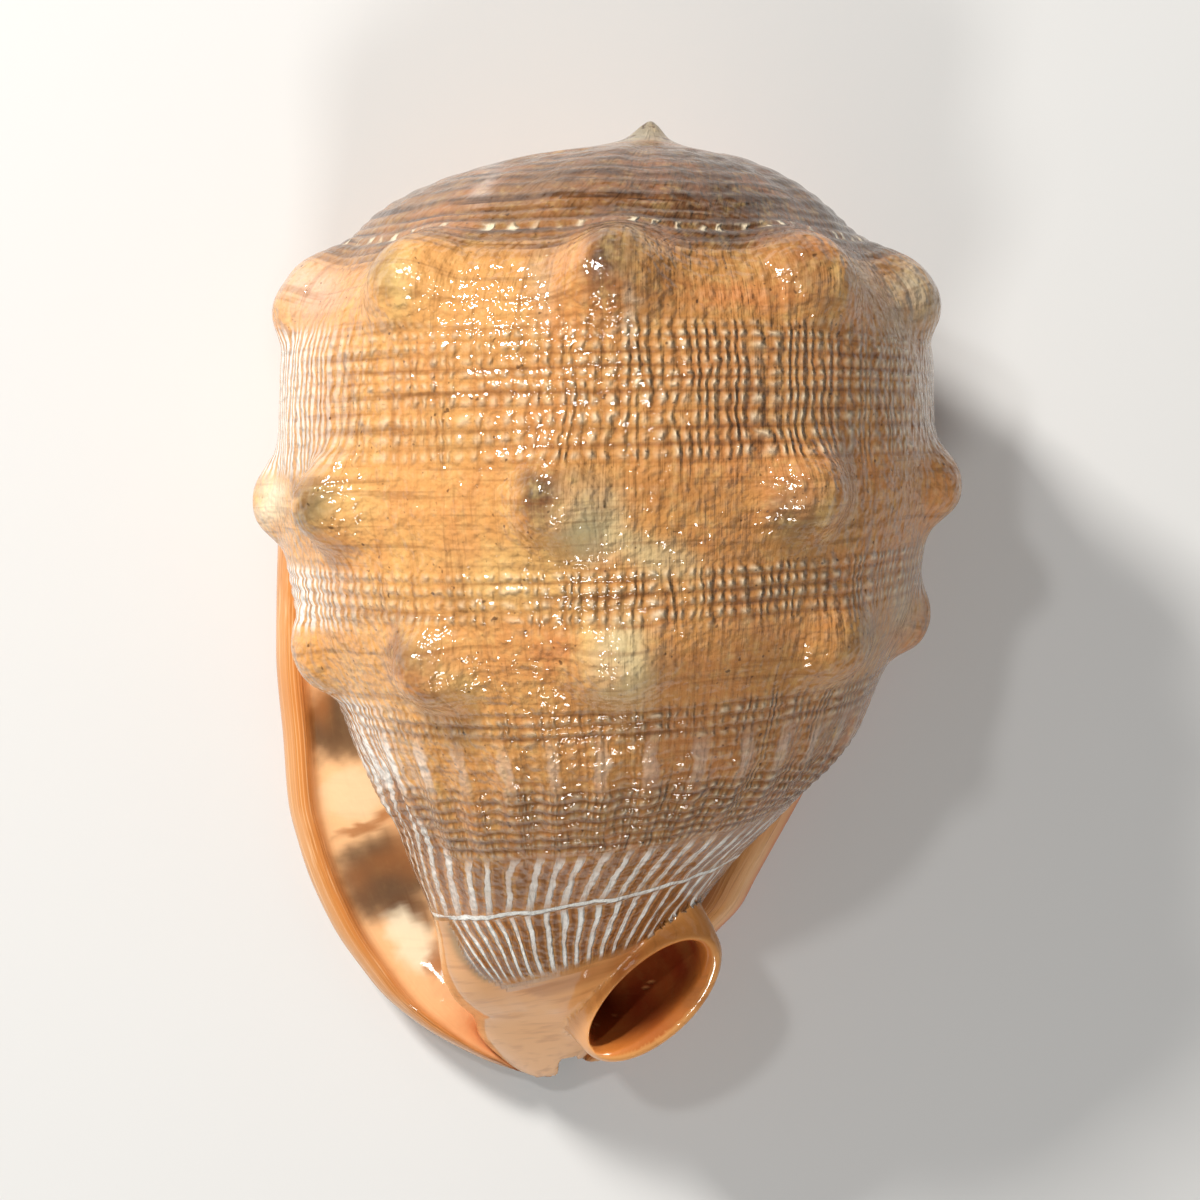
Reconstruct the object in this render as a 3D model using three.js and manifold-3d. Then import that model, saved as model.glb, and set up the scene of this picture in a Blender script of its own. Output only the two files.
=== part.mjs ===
// A bullmouth helmet shell (Cypraecassis rufa) lying on its flat underside.
// Millimetres, +Z up. The spire points along +Y, the siphonal canal along -Y and the outer lip along -X.
// The origin is on the resting plane, under the middle of the shell's box.
import * as THREE from 'three';
import { mergeVertices } from 'three/addons/utils/BufferGeometryUtils.js';
import Module from 'manifold-3d';

// ---- Driving dimensions, in mm and degrees ----
const LIP_SIDE = 112; // angle from the top, where the body meets the back of the outer lip
const SHIELD_SIDE = -125; // the same on the side of the parietal shield
const AXIS_TILT = 0.03; // how far the coiling axis rises towards the spire, per mm
const FLATTENING = 0.96; // height of the body over its width
const ORIGIN = { x: 0.24, y: -2.02 }; // middle of the finished shell's box, in the coordinates used below

// The outline that is turned round the axis: radius on the back of the shell, and place along the axis.
const OUTLINE = [
  [0, 75], [1.4, 74.1], [3.7, 72], [8, 70.5], [14.4, 69.2], [20.8, 67.5], [28.8, 64.2], [34.9, 60.2],
  [38.8, 56], [42.4, 52], [46.2, 47], [49.3, 41.5], [50.6, 36], [50.7, 30], [50.6, 24], [50.2, 15.6],
  [49, 6.2], [47.7, 0], [44.8, -7], [41.6, -14], [38.6, -20], [35, -26], [31.3, -32], [27.8, -38],
  [23.6, -44], [20, -49], [18.4, -54], [17, -59], [14, -65], [10.5, -70.8], [5.5, -76], [0, -80],
];
// Each of these is a list of [y, value].
const WHORL_GROWTH = [
  [75, 1.5], [72.2, 2.2], [70.9, 3.2], [69.8, 3.6], [68, 2.9], [64.6, 2.5], [60.8, 2.35], [56.8, 2.2],
  [52.6, 2.05], [46, 1.82], [38, 1.78], [-80, 1.78],
];
const CENTRE_X = [
  [75, 7.9], [-20, 7.9], [-30, 6.2], [-41, 3.1], [-47, 1.2], [-55, -1], [-64, -2], [-71, -6], [-80, -9.5],
];
const CENTRE_Z = [
  [75, 36.5], [0, 36.5], [-15, 35], [-30, 31.5], [-41, 26.5], [-47, 23.5], [-55, 19], [-63, 14], [-71, 9],
  [-80, 5.5],
];
// How far a row moves along y on the back, and on the sides.
const DORSAL_LEAN = [
  [60, 0.5], [46.8, 0.8], [16.8, -2.6], [-5, -4.2], [-25, -4.4], [-45, -1.2], [-60, 0], [-78, 0],
];
const SIDE_LEAN = [
  [60, 0], [46.8, 0], [16.8, -1.7], [-5, -2.7], [-30, -3.8], [-45, -4.9], [-58, -3], [-70, 0], [-78, 0],
];

// The flat underside: edges of the lip and of the parietal shield, and how high they lie.
const LIP_EDGE = [
  [64, -12], [56, -24], [50, -34], [42, -44], [30, -50], [15, -52.8], [-8, -53.3], [-23, -52.1],
  [-33, -51.3], [-40.3, -49.5], [-45.2, -47.9], [-50.2, -45.7], [-55.1, -43.1], [-60, -39.6], [-65, -35.5],
  [-69.9, -29.4], [-72.4, -25.3], [-74.9, -20.4], [-76.5, -16.8], [-78.1, -12.8], [-80, -9.7],
];
const SHIELD_EDGE = [
  [64, 14], [56, 22], [48, 31], [38, 40], [25, 45.5], [10, 48], [0, 48.5], [-8, 47.5], [-16.5, 44],
  [-25.5, 37], [-35.5, 31.4], [-45.3, 25.9], [-50.3, 23.2], [-56, 18], [-60.5, 15.5], [-64, 13.6],
  [-67.5, 11.5], [-71.4, 8], [-74, 4], [-76, 0], [-78, -5], [-80, -9],
];
const UNDERSIDE_Z = [
  [64, 24], [56, 15], [50, 9.5], [42, 4.5], [34, 1.5], [26, 0], [-55, 0], [-66, 1], [-74, 3], [-80, 5],
];
// 0 where the whorl is still round underneath, 1 where the lip and the shield have spread out flat.
const DISC_WEIGHT = [[75, 0], [64, 0], [56, 0.12], [48, 0.55], [40, 0.9], [33, 1], [-80, 1]];
// How thick the rolled rims are, over their full size.
const RIM_SIZE = [[60, 0.1], [50, 0.45], [40, 0.8], [26, 1], [-55, 1], [-70, 0.8], [-80, 0.15]];

// The aperture: the middle of the slit and its width, from the spire's end to the canal's.
const SLIT_X = [
  [46, -20], [36, -26.5], [10, -29], [-15, -28.5], [-35, -25], [-50, -19], [-62, -11], [-70, -5.7], [-84, -5],
];
const SLIT_WIDTH = [
  [46, 1.2], [42, 4.5], [30, 7.5], [-30, 8.5], [-50, 7], [-62, 4.5], [-70, 2.6], [-84, 2.6],
];
const SLIT_TOP = [[46, 14], [-35, 15], [-50, 18], [-62, 21], [-72.5, 25], [-74, 50], [-84, 50]];
const SLIT_ENDS = [44, -84];
const SHIELD_END = -75.5;
const TOOTH_PITCH = 4.1;
const TOOTH_DEPTH = 1.1;
const TEETH_FROM = -62; // no teeth beyond this, towards the canal

// Knobs: rows along y, each with a low band that joins them, the knobs' height, their half widths round
// the shell, towards the spire and towards the canal, and the angles at which they stand.
const KNOB_ROWS = [
  { y: 46, band: 0.8, height: 3.7, round: 8.5, up: 7.5, down: 6, angles: [83, 45, 7, -32, -71, -109, -147] },
  { y: 16.7, band: 0.9, height: 3.5, round: 7.5, up: 7, down: 6, angles: [94, 57, 16, -28, -74, -116, -150] },
  { y: -5.6, band: 0.7, height: 2.9, round: 7.5, up: 6.5, down: 5.5, angles: [80, 42, 6, -40, -84, -124] },
];
// Low folds along the shell, in front of the third row.
const FOLDS = { y: -25.5, along: 6, height: 0.9, count: 34 };

// The living chamber, as a tube that shrinks to the spire: radius and distance from the apex, at its
// left side.
const CHAMBER_SECTION = [
  [37, 31], [45, 31.5], [50.4, 37], [54, 48], [54.4, 62], [51.5, 76], [46, 88], [39, 98], [30.5, 108],
  [21, 118], [12, 123], [7, 119], [9, 106], [14, 92], [21, 80], [27, 70], [31.5, 60], [33.6, 50], [34, 38],
];
const CHAMBER_FLOOR = 4.5; // least thickness of shell left under the chamber
const CHAMBER_GROWTH = 1.78;
const CHAMBER_PINCH = { angle: -140, width: 45, amount: 0.09 }; // over the parietal shield's edge
const CHAMBER_FROM = 138;
const CHAMBER_TO = -440;
const APEX_Y = 75;

// The siphonal canal, from inside to its mouth: places along its middle, and its oval's half length and
// half width.
const CANAL_WALL = [
  { at: [-3, -49, 14], long: 17, short: 13 },
  { at: [1, -54, 20], long: 17, short: 11.5 },
  { at: [4.9, -58.3, 27], long: 16, short: 9.5 },
  { at: [8, -62.4, 32], long: 15, short: 7.2 },
  { at: [8.6, -63.2, 34], long: 14, short: 6 },
];
const CANAL_BORE = [
  { at: [-18, -40, 13], long: 8, short: 5 },
  { at: [-6, -52, 14], long: 8.5, short: 4 },
  { at: [2, -58.5, 19], long: 9.8, short: 3.5 },
  { at: [6, -61.4, 26], long: 11.5, short: 3.6 },
  { at: [7.2, -62.3, 31.5], long: 12.6, short: 4.3 },
  { at: [8.2, -63.2, 38], long: 14.5, short: 5.8 },
];
const CANAL_TURN = 45; // the oval's long axis, from +X towards +Y
const CANAL_RISE = 20; // and its slope, so that the mouth faces up and a little towards the canal's end

// Mesh density.
const ROW_STEP = { spire: 5.2, knobs: 2.9, front: 4.3 }; // between sections, along the outline
const BODY_COLUMNS = 40;
const EDGE_COLUMNS = [1, 2, 2, 2, 2, 1, 1, 1, 1, 1, 1, 2, 2, 2, 1]; // between the underside's control points
const OVAL_STEPS = 8;
const OVAL_SIDES = 16;
const GRID = 0.01; // mm, on which the finished surface's vertices lie

// ---- Small helpers ----
const rad = THREE.MathUtils.degToRad;
const lerp = THREE.MathUtils.lerp;

// A smooth curve through [place, value] pairs that never overshoots them.
function through(pairs) {
  const p = [...pairs].sort((a, b) => a[0] - b[0]);
  const step = p.slice(1).map((q, i) => q[0] - p[i][0]);
  const slope = p.slice(1).map((q, i) => (q[1] - p[i][1]) / step[i]);
  const tangent = p.map((_, i) => {
    if (i === 0) return slope[0];
    if (i === p.length - 1) return slope[i - 1];
    return slope[i - 1] * slope[i] <= 0 ? 0 : (2 * slope[i - 1] * slope[i]) / (slope[i - 1] + slope[i]);
  });
  return (x) => {
    if (x <= p[0][0]) return p[0][1];
    const last = p.length - 1;
    if (x >= p[last][0]) return p[last][1];
    const i = p.findIndex((q) => q[0] > x) - 1;
    const t = (x - p[i][0]) / step[i];
    const s = 1 - t;
    return (
      (1 + 2 * t) * s * s * p[i][1] +
      t * s * s * step[i] * tangent[i] +
      t * t * (3 - 2 * t) * p[i + 1][1] -
      t * t * s * step[i] * tangent[i + 1]
    );
  };
}

const centreX = through(CENTRE_X);
const centreZRaw = through(CENTRE_Z);
const centreZ = (y) => centreZRaw(y) + AXIS_TILT * Math.max(y, 0);
const whorlGrowth = through(WHORL_GROWTH);
const dorsalLean = through(DORSAL_LEAN);
const sideLean = through(SIDE_LEAN);
const lipEdge = through(LIP_EDGE);
const shieldEdge = through(SHIELD_EDGE);
const undersideZ = through(UNDERSIDE_Z);
const discWeight = through(DISC_WEIGHT);
const rimSize = through(RIM_SIZE);
const slitX = through(SLIT_X);
const slitWidth = through(SLIT_WIDTH);
const slitTop = through(SLIT_TOP);

// How wide the whorl is at an angle from the top, positive towards the lip.
const growth = (angle, y) => whorlGrowth(y) ** (angle / 360);

// Underneath, the whorl closes on itself: from the lip's side back to the shield's side.
const CLOSING = [[130, 1.06], [150, 0.88], [170, 0.78], [190, 0.745], [210, 0.77]];
function closing(angle, y) {
  const from = [LIP_SIDE, growth(LIP_SIDE, y)];
  const to = [SHIELD_SIDE + 360, growth(SHIELD_SIDE, y)];
  return through([from, ...CLOSING, to])(angle);
}

// The outline as radius and y at a distance along it, and the way that it faces there.
const along = [0];
OUTLINE.slice(1).forEach(([r, y], i) => {
  along.push(along[i] + Math.hypot(r - OUTLINE[i][0], y - OUTLINE[i][1]));
});
const outlineRadius = through(OUTLINE.map(([r], i) => [along[i], r]));
const outlineY = through(OUTLINE.map(([, y], i) => [along[i], y]));
const OUTLINE_LENGTH = along[along.length - 1];
function outlinePlace(distance) {
  const back = distance - 1;
  const on = distance + 1;
  const facing = new THREE.Vector2(outlineY(back) - outlineY(on), outlineRadius(on) - outlineRadius(back));
  return { radius: outlineRadius(distance), y: outlineY(distance), facing: facing.normalize() };
}

// How far the back of the shell stands proud of its smooth outline.
function relief(angle, y, radius) {
  let height = 0;
  for (const row of KNOB_ROWS) {
    const up = (y - row.y) / (y > row.y ? row.up : row.down);
    height += row.band * Math.exp(-up * up);
    for (const at of row.angles) {
      const round = (rad(angle - at) * radius) / row.round;
      height += row.height * Math.exp(-((round * round + up * up) ** 1.3));
    }
  }
  const fold = (y - FOLDS.y) / FOLDS.along;
  height += FOLDS.height * Math.exp(-fold * fold) * (0.5 + 0.5 * Math.cos(rad(angle) * FOLDS.count));
  return height;
}

// A point on the whorl, at an angle and a place of the outline.
function whorlPoint(angle, place, spread) {
  const { y, facing } = place;
  const a = rad(angle);
  const dorsal = Math.max(Math.cos(a), -0.4);
  const bare = place.radius * spread;
  const height = place.radius > 15 && Math.abs(angle) < 180 ? relief(angle, y, bare) : 0;
  const r = bare + height * facing.x;
  return new THREE.Vector3(
    centreX(y) - r * Math.sin(a),
    y + height * facing.y + dorsalLean(y) * dorsal + sideLean(y) * Math.sin(a),
    centreZ(y) + r * Math.cos(a) * FLATTENING,
  );
}

// The lip, the underside and the shield, as control points of a section from one side to the other.
function edgeControls(place) {
  const lean = sideLean(place.y);
  const start = whorlPoint(LIP_SIDE, place, growth(LIP_SIDE, place.y));
  const end = whorlPoint(SHIELD_SIDE, place, growth(SHIELD_SIDE, place.y));
  const count = 14;
  const points = [start];
  for (let k = 1; k <= count; k++) {
    const share = k / (count + 1);
    const angle = lerp(LIP_SIDE, SHIELD_SIDE + 360, share);
    const round = whorlPoint(angle, place, closing(angle, place.y));
    const y = place.y + lean * Math.cos(Math.PI * share);
    const s = slitX(y);
    const w = slitWidth(y) / 2;
    const l = Math.min(lipEdge(y), s - w - 1);
    const r = Math.max(shieldEdge(y), s + w + 1);
    const z = undersideZ(y);
    const e = Math.min(rimSize(y), (s - w - l) / 12, (r - s - w) / 10);
    const flat = [
      [lerp(l + 7 * e, start.x, 0.5), lerp(z + 9 * e, start.z, 0.4)],
      [l + 6.2 * e, z + 9.6 * e],
      [l + 3.4 * e, z + 11.2 * e],
      [l, z + 6.5 * e],
      [l + 3.4 * e, z + 1.3 * e],
      [l + 10.5 * e, z - 0.6],
      [s - w - 1.5 * e, z + 1.6],
      [s, z + 3.2],
      [s + w + 1.5 * e, z + 1.6],
      [lerp(s, r, 0.42), z - 0.7],
      [r - 8 * e, z + 1.8],
      [r, z + 6 * e],
      [r - 2.6 * e, z + 9.2 * e],
      [r - 7 * e, z + 10.4 * e],
    ][k - 1];
    points.push(round.lerp(new THREE.Vector3(flat[0], y, flat[1]), discWeight(y)));
  }
  points.push(end);
  return points;
}

// One closed section of the outside, as a ring of points.
function section(distance) {
  const place = outlinePlace(distance);
  const onBack = (angle) => whorlPoint(angle, place, growth(angle, place.y));
  const ring = [];
  for (let i = 0; i < BODY_COLUMNS; i++) ring.push(onBack(lerp(SHIELD_SIDE, LIP_SIDE, i / BODY_COLUMNS)));
  const controls = edgeControls(place);
  const before = onBack(LIP_SIDE - 8);
  const after = onBack(SHIELD_SIDE + 8);
  const curve = new THREE.CatmullRomCurve3([before, ...controls, after], false, 'centripetal');
  const stretches = controls.length + 1;
  EDGE_COLUMNS.forEach((columns, i) => {
    for (let k = 0; k < columns; k++) ring.push(curve.getPoint((1 + i + k / columns) / stretches));
  });
  return ring;
}

// A closed mesh through rings of points, with each end drawn together to its middle.
function loft(rings, endPoints) {
  const count = rings[0].length;
  const positions = rings.flat().concat(endPoints).flatMap((p) => [p.x, p.y, p.z]);
  const faces = [];
  for (let j = 0; j + 1 < rings.length; j++) {
    for (let i = 0; i < count; i++) {
      const a = j * count + i;
      const b = j * count + ((i + 1) % count);
      faces.push(a, b, a + count, b, b + count, a + count);
    }
  }
  const first = rings.length * count;
  const lastRow = first - count;
  for (let i = 0; i < count; i++) {
    const next = (i + 1) % count;
    faces.push(first, next, i);
    faces.push(first + 1, lastRow + i, lastRow + next);
  }
  const geometry = new THREE.BufferGeometry();
  geometry.setAttribute('position', new THREE.Float32BufferAttribute(positions, 3));
  geometry.setIndex(faces);
  return geometry;
}

const middle = (ring) => ring.reduce((sum, p) => sum.add(p), new THREE.Vector3()).divideScalar(ring.length);

// ---- The pieces that are joined and cut ----
// Places of the sections along the outline, closest together where the knobs stand.
function rowPlaces() {
  const places = [];
  let place = 0;
  for (;;) {
    place += ROW_STEP[outlineY(place) > 55 ? 'spire' : outlineY(place) > -12 ? 'knobs' : 'front'];
    if (place > OUTLINE_LENGTH - 4) return [...places, OUTLINE_LENGTH - 2.2];
    places.push(place);
  }
}

function outside() {
  const rings = rowPlaces().map(section);
  const apex = new THREE.Vector3(centreX(APEX_Y), APEX_Y, centreZ(APEX_Y));
  return loft(rings, [apex, middle(rings[rings.length - 1]).add(new THREE.Vector3(0, -0.3, 0))]);
}

function chamber() {
  const corners = CHAMBER_SECTION.map(([r, d]) => new THREE.Vector3(r, d, 0));
  const shape = new THREE.CatmullRomCurve3(corners, true, 'centripetal').getPoints(14).slice(0, 14);
  const rings = [];
  for (let angle = CHAMBER_FROM; angle >= CHAMBER_TO; angle -= 27) {
    const scale = CHAMBER_GROWTH ** ((angle - 90) / 360);
    const mouth = THREE.MathUtils.smoothstep(angle, 95, CHAMBER_FROM);
    const pinch = Math.exp(-(((angle - CHAMBER_PINCH.angle) / CHAMBER_PINCH.width) ** 2));
    const narrowing = 1 - 0.15 * mouth - CHAMBER_PINCH.amount * pinch;
    const a = rad(angle);
    rings.push(shape.map((p) => {
      const y = APEX_Y - p.y * scale;
      const r = p.x * scale * narrowing;
      const z = centreZ(y) + r * Math.cos(a) * FLATTENING;
      return new THREE.Vector3(centreX(y) - r * Math.sin(a), y, Math.max(z, undersideZ(y) + CHAMBER_FLOOR));
    }));
  }
  return loft(rings, [middle(rings[0]), middle(rings[rings.length - 1])]);
}

function slit() {
  const rings = [];
  const step = TOOTH_PITCH / 2;
  const [from, to] = SLIT_ENDS;
  for (let y = from; y > to; y -= step) {
    const toothed = y > TEETH_FROM ? 1 : 0;
    const wave = 0.5 + 0.5 * Math.cos((2 * Math.PI * y) / TOOTH_PITCH);
    const tooth = TOOTH_DEPTH * wave * toothed;
    const x = slitX(y);
    const half = slitWidth(y) / 2;
    const top = slitTop(y);
    const flare = Math.max(0, SHIELD_END - y) * 4; // beyond the shield's end only the lip goes on
    const base = undersideZ(y);
    const side = [
      [half + 5, base - 8],
      [half + 0.9 - tooth * 0.6, base + 1.6],
      [half - tooth, base + 6],
      [half * 0.9, top],
    ];
    rings.push([
      ...side.map(([w, z]) => new THREE.Vector3(x - w, y, z)),
      ...[...side].reverse().map(([w, z]) => new THREE.Vector3(x + w + flare, y, z)),
    ]);
  }
  return loft(rings, [middle(rings[0]), middle(rings[rings.length - 1])]);
}

// A tube of ovals, for the wall of the siphonal canal and for its bore.
function ovalTube(stations) {
  const middles = stations.map((c) => new THREE.Vector3(...c.at));
  const path = new THREE.CatmullRomCurve3(middles, false, 'centripetal');
  const places = stations.map((_, i) => i / (stations.length - 1));
  const long = through(stations.map((c, i) => [places[i], c.long]));
  const short = through(stations.map((c, i) => [places[i], c.short]));
  const flat = Math.cos(rad(CANAL_RISE));
  const a = new THREE.Vector3(
    Math.cos(rad(CANAL_TURN)) * flat, Math.sin(rad(CANAL_TURN)) * flat, Math.sin(rad(CANAL_RISE)));
  const b = new THREE.Vector3(-Math.sin(rad(CANAL_TURN)), Math.cos(rad(CANAL_TURN)), 0);
  const rings = [];
  for (let j = 0; j <= OVAL_STEPS; j++) {
    const t = j / OVAL_STEPS;
    const ring = [];
    for (let i = 0; i < OVAL_SIDES; i++) {
      const q = (2 * Math.PI * i) / OVAL_SIDES;
      const point = path.getPoint(t).addScaledVector(a, long(t) * Math.cos(q));
      ring.push(point.addScaledVector(b, short(t) * Math.sin(q)));
    }
    rings.push(ring);
  }
  return loft(rings, [middle(rings[0]), middle(rings[OVAL_STEPS])]);
}

// ---- Joining and cutting ----
const wasm = await Module();
wasm.setup();

function solid(geometry) {
  const bare = geometry.clone();
  bare.deleteAttribute('normal');
  bare.deleteAttribute('uv');
  const merged = mergeVertices(bare, 1e-4);
  const made = (triVerts) => new wasm.Manifold(
    new wasm.Mesh({ numProp: 3, vertProperties: merged.attributes.position.array, triVerts }));
  const faces = new Uint32Array(merged.index.array);
  const first = made(faces);
  if (first.volume() > 0) return first;
  return made(faces.map((_, i) => faces[i - (i % 3) + 2 - (i % 3)]));
}

// The solid's surface on a fine grid, so that vertices which a cut left side by side become one.
function geometryOf(manifold) {
  const mesh = manifold.getMesh();
  const positions = mesh.vertProperties.map((value) => Math.round(value / GRID) * GRID);
  const cut = new THREE.BufferGeometry();
  cut.setAttribute('position', new THREE.BufferAttribute(positions, 3));
  cut.setIndex(new THREE.BufferAttribute(mesh.triVerts, 1));
  const merged = mergeVertices(cut, GRID / 4);
  const kept = [];
  for (let i = 0; i < merged.index.count; i += 3) {
    const face = [0, 1, 2].map((k) => merged.index.getX(i + k));
    if (new Set(face).size === 3) kept.push(...face);
  }
  merged.setIndex(kept);
  merged.computeVertexNormals();
  return merged;
}

const below = new THREE.BoxGeometry(300, 300, 40).translate(0, 0, -20);

const carved = solid(outside())
  .add(solid(ovalTube(CANAL_WALL)))
  .subtract(solid(chamber()))
  .subtract(solid(slit()))
  .subtract(solid(ovalTube(CANAL_BORE)))
  .subtract(solid(below));

// The cuts can leave a loose crumb, so only the largest body is kept.
const shellSolid = carved.decompose().sort((a, b) => b.volume() - a.volume())[0];

const shell = new THREE.Mesh(
  geometryOf(shellSolid.translate([-ORIGIN.x, -ORIGIN.y, 0])),
  new THREE.MeshStandardMaterial({ color: 0xc98f5a, roughness: 0.35, metalness: 0 }),
);
shell.name = 'shell';

const helmetShell = new THREE.Group();
helmetShell.add(shell);

export default helmetShell;
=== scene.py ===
"""A bullmouth helmet shell (Cypraecassis rufa) lying on its flat underside, seen from straight above."""

import math
from functools import reduce
from types import SimpleNamespace

import bmesh
import bpy
import numpy as np
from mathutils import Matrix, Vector, kdtree


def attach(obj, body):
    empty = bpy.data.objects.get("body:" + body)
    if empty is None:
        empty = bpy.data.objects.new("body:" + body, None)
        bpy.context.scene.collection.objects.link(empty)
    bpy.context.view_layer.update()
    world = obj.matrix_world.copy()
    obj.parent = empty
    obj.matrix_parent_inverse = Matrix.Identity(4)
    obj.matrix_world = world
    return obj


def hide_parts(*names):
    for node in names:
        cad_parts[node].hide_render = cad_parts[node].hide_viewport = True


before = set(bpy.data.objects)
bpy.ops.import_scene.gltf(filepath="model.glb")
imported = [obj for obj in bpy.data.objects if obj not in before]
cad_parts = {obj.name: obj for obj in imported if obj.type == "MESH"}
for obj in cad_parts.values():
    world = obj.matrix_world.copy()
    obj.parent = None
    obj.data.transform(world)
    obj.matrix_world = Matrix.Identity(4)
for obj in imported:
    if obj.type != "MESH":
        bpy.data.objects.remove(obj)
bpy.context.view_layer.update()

# ---- Curves and blends ----
def through(pairs):
    """A smooth curve through (place, value) pairs that never overshoots them."""
    x, y = np.array(sorted(pairs), float).T
    step = np.diff(x)
    slope = np.diff(y) / step
    tangent = np.concatenate([slope[:1], np.zeros(len(x) - 2), slope[-1:]])
    product = slope[:-1] * slope[1:]
    rising = product > 0
    tangent[1:-1][rising] = 2 * product[rising] / (slope[:-1] + slope[1:])[rising]

    def value(place):
        place = np.clip(np.asarray(place, float), x[0], x[-1])
        i = np.clip(np.searchsorted(x, place, side="right") - 1, 0, len(x) - 2)
        t = (place - x[i]) / step[i]
        s = 1 - t
        ends = (1 + 2 * t) * s * s * y[i] + t * t * (3 - 2 * t) * y[i + 1]
        return ends + t * s * s * step[i] * tangent[i] - t * t * s * step[i] * tangent[i + 1]

    return value


def smoothstep(low, high, x):
    t = np.clip((x - low) / (high - low), 0, 1)
    return t * t * (3 - 2 * t)


def lerp(a, b, t):
    return a + (b - a) * t


# ---- The shell's dimensions, in mm and degrees ----
# The spire points along +Y, the siphonal canal along -Y and the outer lip along -X.
MM = 0.001  # in metres
ORIGIN = (0.24, -2.02)  # middle of the shell's box, in the coordinates used below
LIP_SIDE = 112  # angle from the top, where the body meets the back of the outer lip
SHIELD_SIDE = -125  # the same on the side of the parietal shield
AXIS_TILT = 0.03
FLATTENING = 0.96
LEAN_LEAST = -0.4  # underneath, the sections lean back by no more than this share of dorsal_lean

# Radius on the back of the shell, and place along the axis.
OUTLINE = [
    (0, 75), (1.4, 74.1), (3.7, 72), (8, 70.5), (14.4, 69.2), (20.8, 67.5), (28.8, 64.2), (34.9, 60.2),
    (38.8, 56), (42.4, 52), (46.2, 47), (49.3, 41.5), (50.6, 36), (50.7, 30), (50.6, 24), (50.2, 15.6),
    (49, 6.2), (47.7, 0), (44.8, -7), (42, -14), (39.3, -20), (35.7, -26), (32, -32), (28.7, -38),
    (24.6, -44), (21.2, -49), (19.4, -54), (18.1, -59), (14.9, -65), (11, -70.8), (5.6, -76), (0, -80),
]
# Each of these is a curve through pairs of a place along the axis and a value.
whorl_growth = through([
    (75, 1.5), (72.2, 2.2), (70.9, 3.2), (69.8, 3.6), (68, 2.9), (64.6, 2.5), (60.8, 2.35), (56.8, 2.2),
    (52.6, 2.05), (46, 1.82), (38, 1.78), (-8, 1.78), (-20, 1.9), (-38, 2.03), (-50, 2.24), (-65, 2.32),
    (-80, 2.3),
])
centre_x = through([
    (75, 7.9), (-20, 7.9), (-30, 6.2), (-41, 3.1), (-47, 1.2), (-55, -1), (-64, -2), (-71, -6), (-80, -9.5),
])
centre_z_flat = through([
    (75, 36.5), (0, 36.5), (-15, 35), (-30, 31.5), (-41, 26.5), (-47, 23.5), (-55, 19), (-63, 14), (-71, 9),
    (-80, 5.5),
])
dorsal_lean = through([
    (60, 0.5), (46.8, 0.8), (16.8, -2.6), (-5, -4.2), (-25, -4.4), (-45, -1.2), (-60, 0), (-78, 0),
])
side_lean = through([
    (60, 0), (46.8, 0), (16.8, -1.7), (-5, -2.7), (-30, -3.8), (-45, -4.9), (-57, -5.6), (-68, -1.5),
    (-78, 0),
])
lip_edge = through([
    (64, -12), (56, -24), (50, -34), (42, -44), (30, -50), (15, -52.8), (-8, -53.3), (-23, -52.1),
    (-33, -51.3), (-40.3, -49.5), (-45.2, -47.9), (-50.2, -45.7), (-55.1, -43.1), (-60, -39.6),
    (-65, -35.5), (-69.9, -29.4), (-72.4, -25.3), (-74.9, -20.4), (-76.5, -16.8), (-78.1, -12.8),
    (-80, -9.7),
])
shield_edge = through([
    (64, 14), (56, 22), (48, 31), (38, 40), (25, 45.5), (10, 48), (0, 48.5), (-8, 47.5), (-16.5, 44),
    (-25.5, 37), (-35.5, 31.4), (-45.3, 25.9), (-50.3, 23.2), (-56, 18), (-60.5, 15.5), (-64, 13.6),
    (-67.5, 11.5), (-71.4, 8), (-74, 4), (-76, 0), (-78, -5), (-80, -9),
])
underside_z = through([
    (64, 24), (56, 15), (50, 9.5), (42, 4.5), (34, 1.5), (26, 0), (-55, 0), (-66, 1), (-74, 3), (-80, 5),
])
disc_weight = through([(75, 0), (64, 0), (56, 0.12), (48, 0.55), (40, 0.9), (33, 1), (-80, 1)])
rim_size = through([(60, 0.1), (50, 0.45), (40, 0.8), (26, 1), (-55, 1), (-70, 0.8), (-80, 0.15)])
CLOSING = [(130, 1.06), (150, 0.88), (170, 0.78), (190, 0.745), (210, 0.77)]

slit_x = through([
    (46, -20), (36, -26.5), (10, -29), (-15, -28.5), (-35, -25), (-50, -19), (-62, -11), (-70, -5.7),
    (-84, -5),
])
slit_width = through([
    (46, 1.2), (42, 4.5), (30, 7.5), (-30, 8.5), (-50, 7), (-62, 4.5), (-70, 2.6), (-84, 2.6),
])
slit_top = through([
    (46, 14), (-35, 15), (-50, 17), (-62, 16), (-72.5, 11), (-75, 13), (-76.5, 50), (-84, 50),
])
SLIT_ENDS = (44, -84)
SLIT_STEPS = 8  # sections to each tooth
SHIELD_END = -75.5
SLIT_FLARE = 4  # mm that the slit widens for each mm past the shield's end
TOOTH_PITCH = 4.1
TOOTH_DEPTH = 1.1
TEETH_FROM = -62

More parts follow.
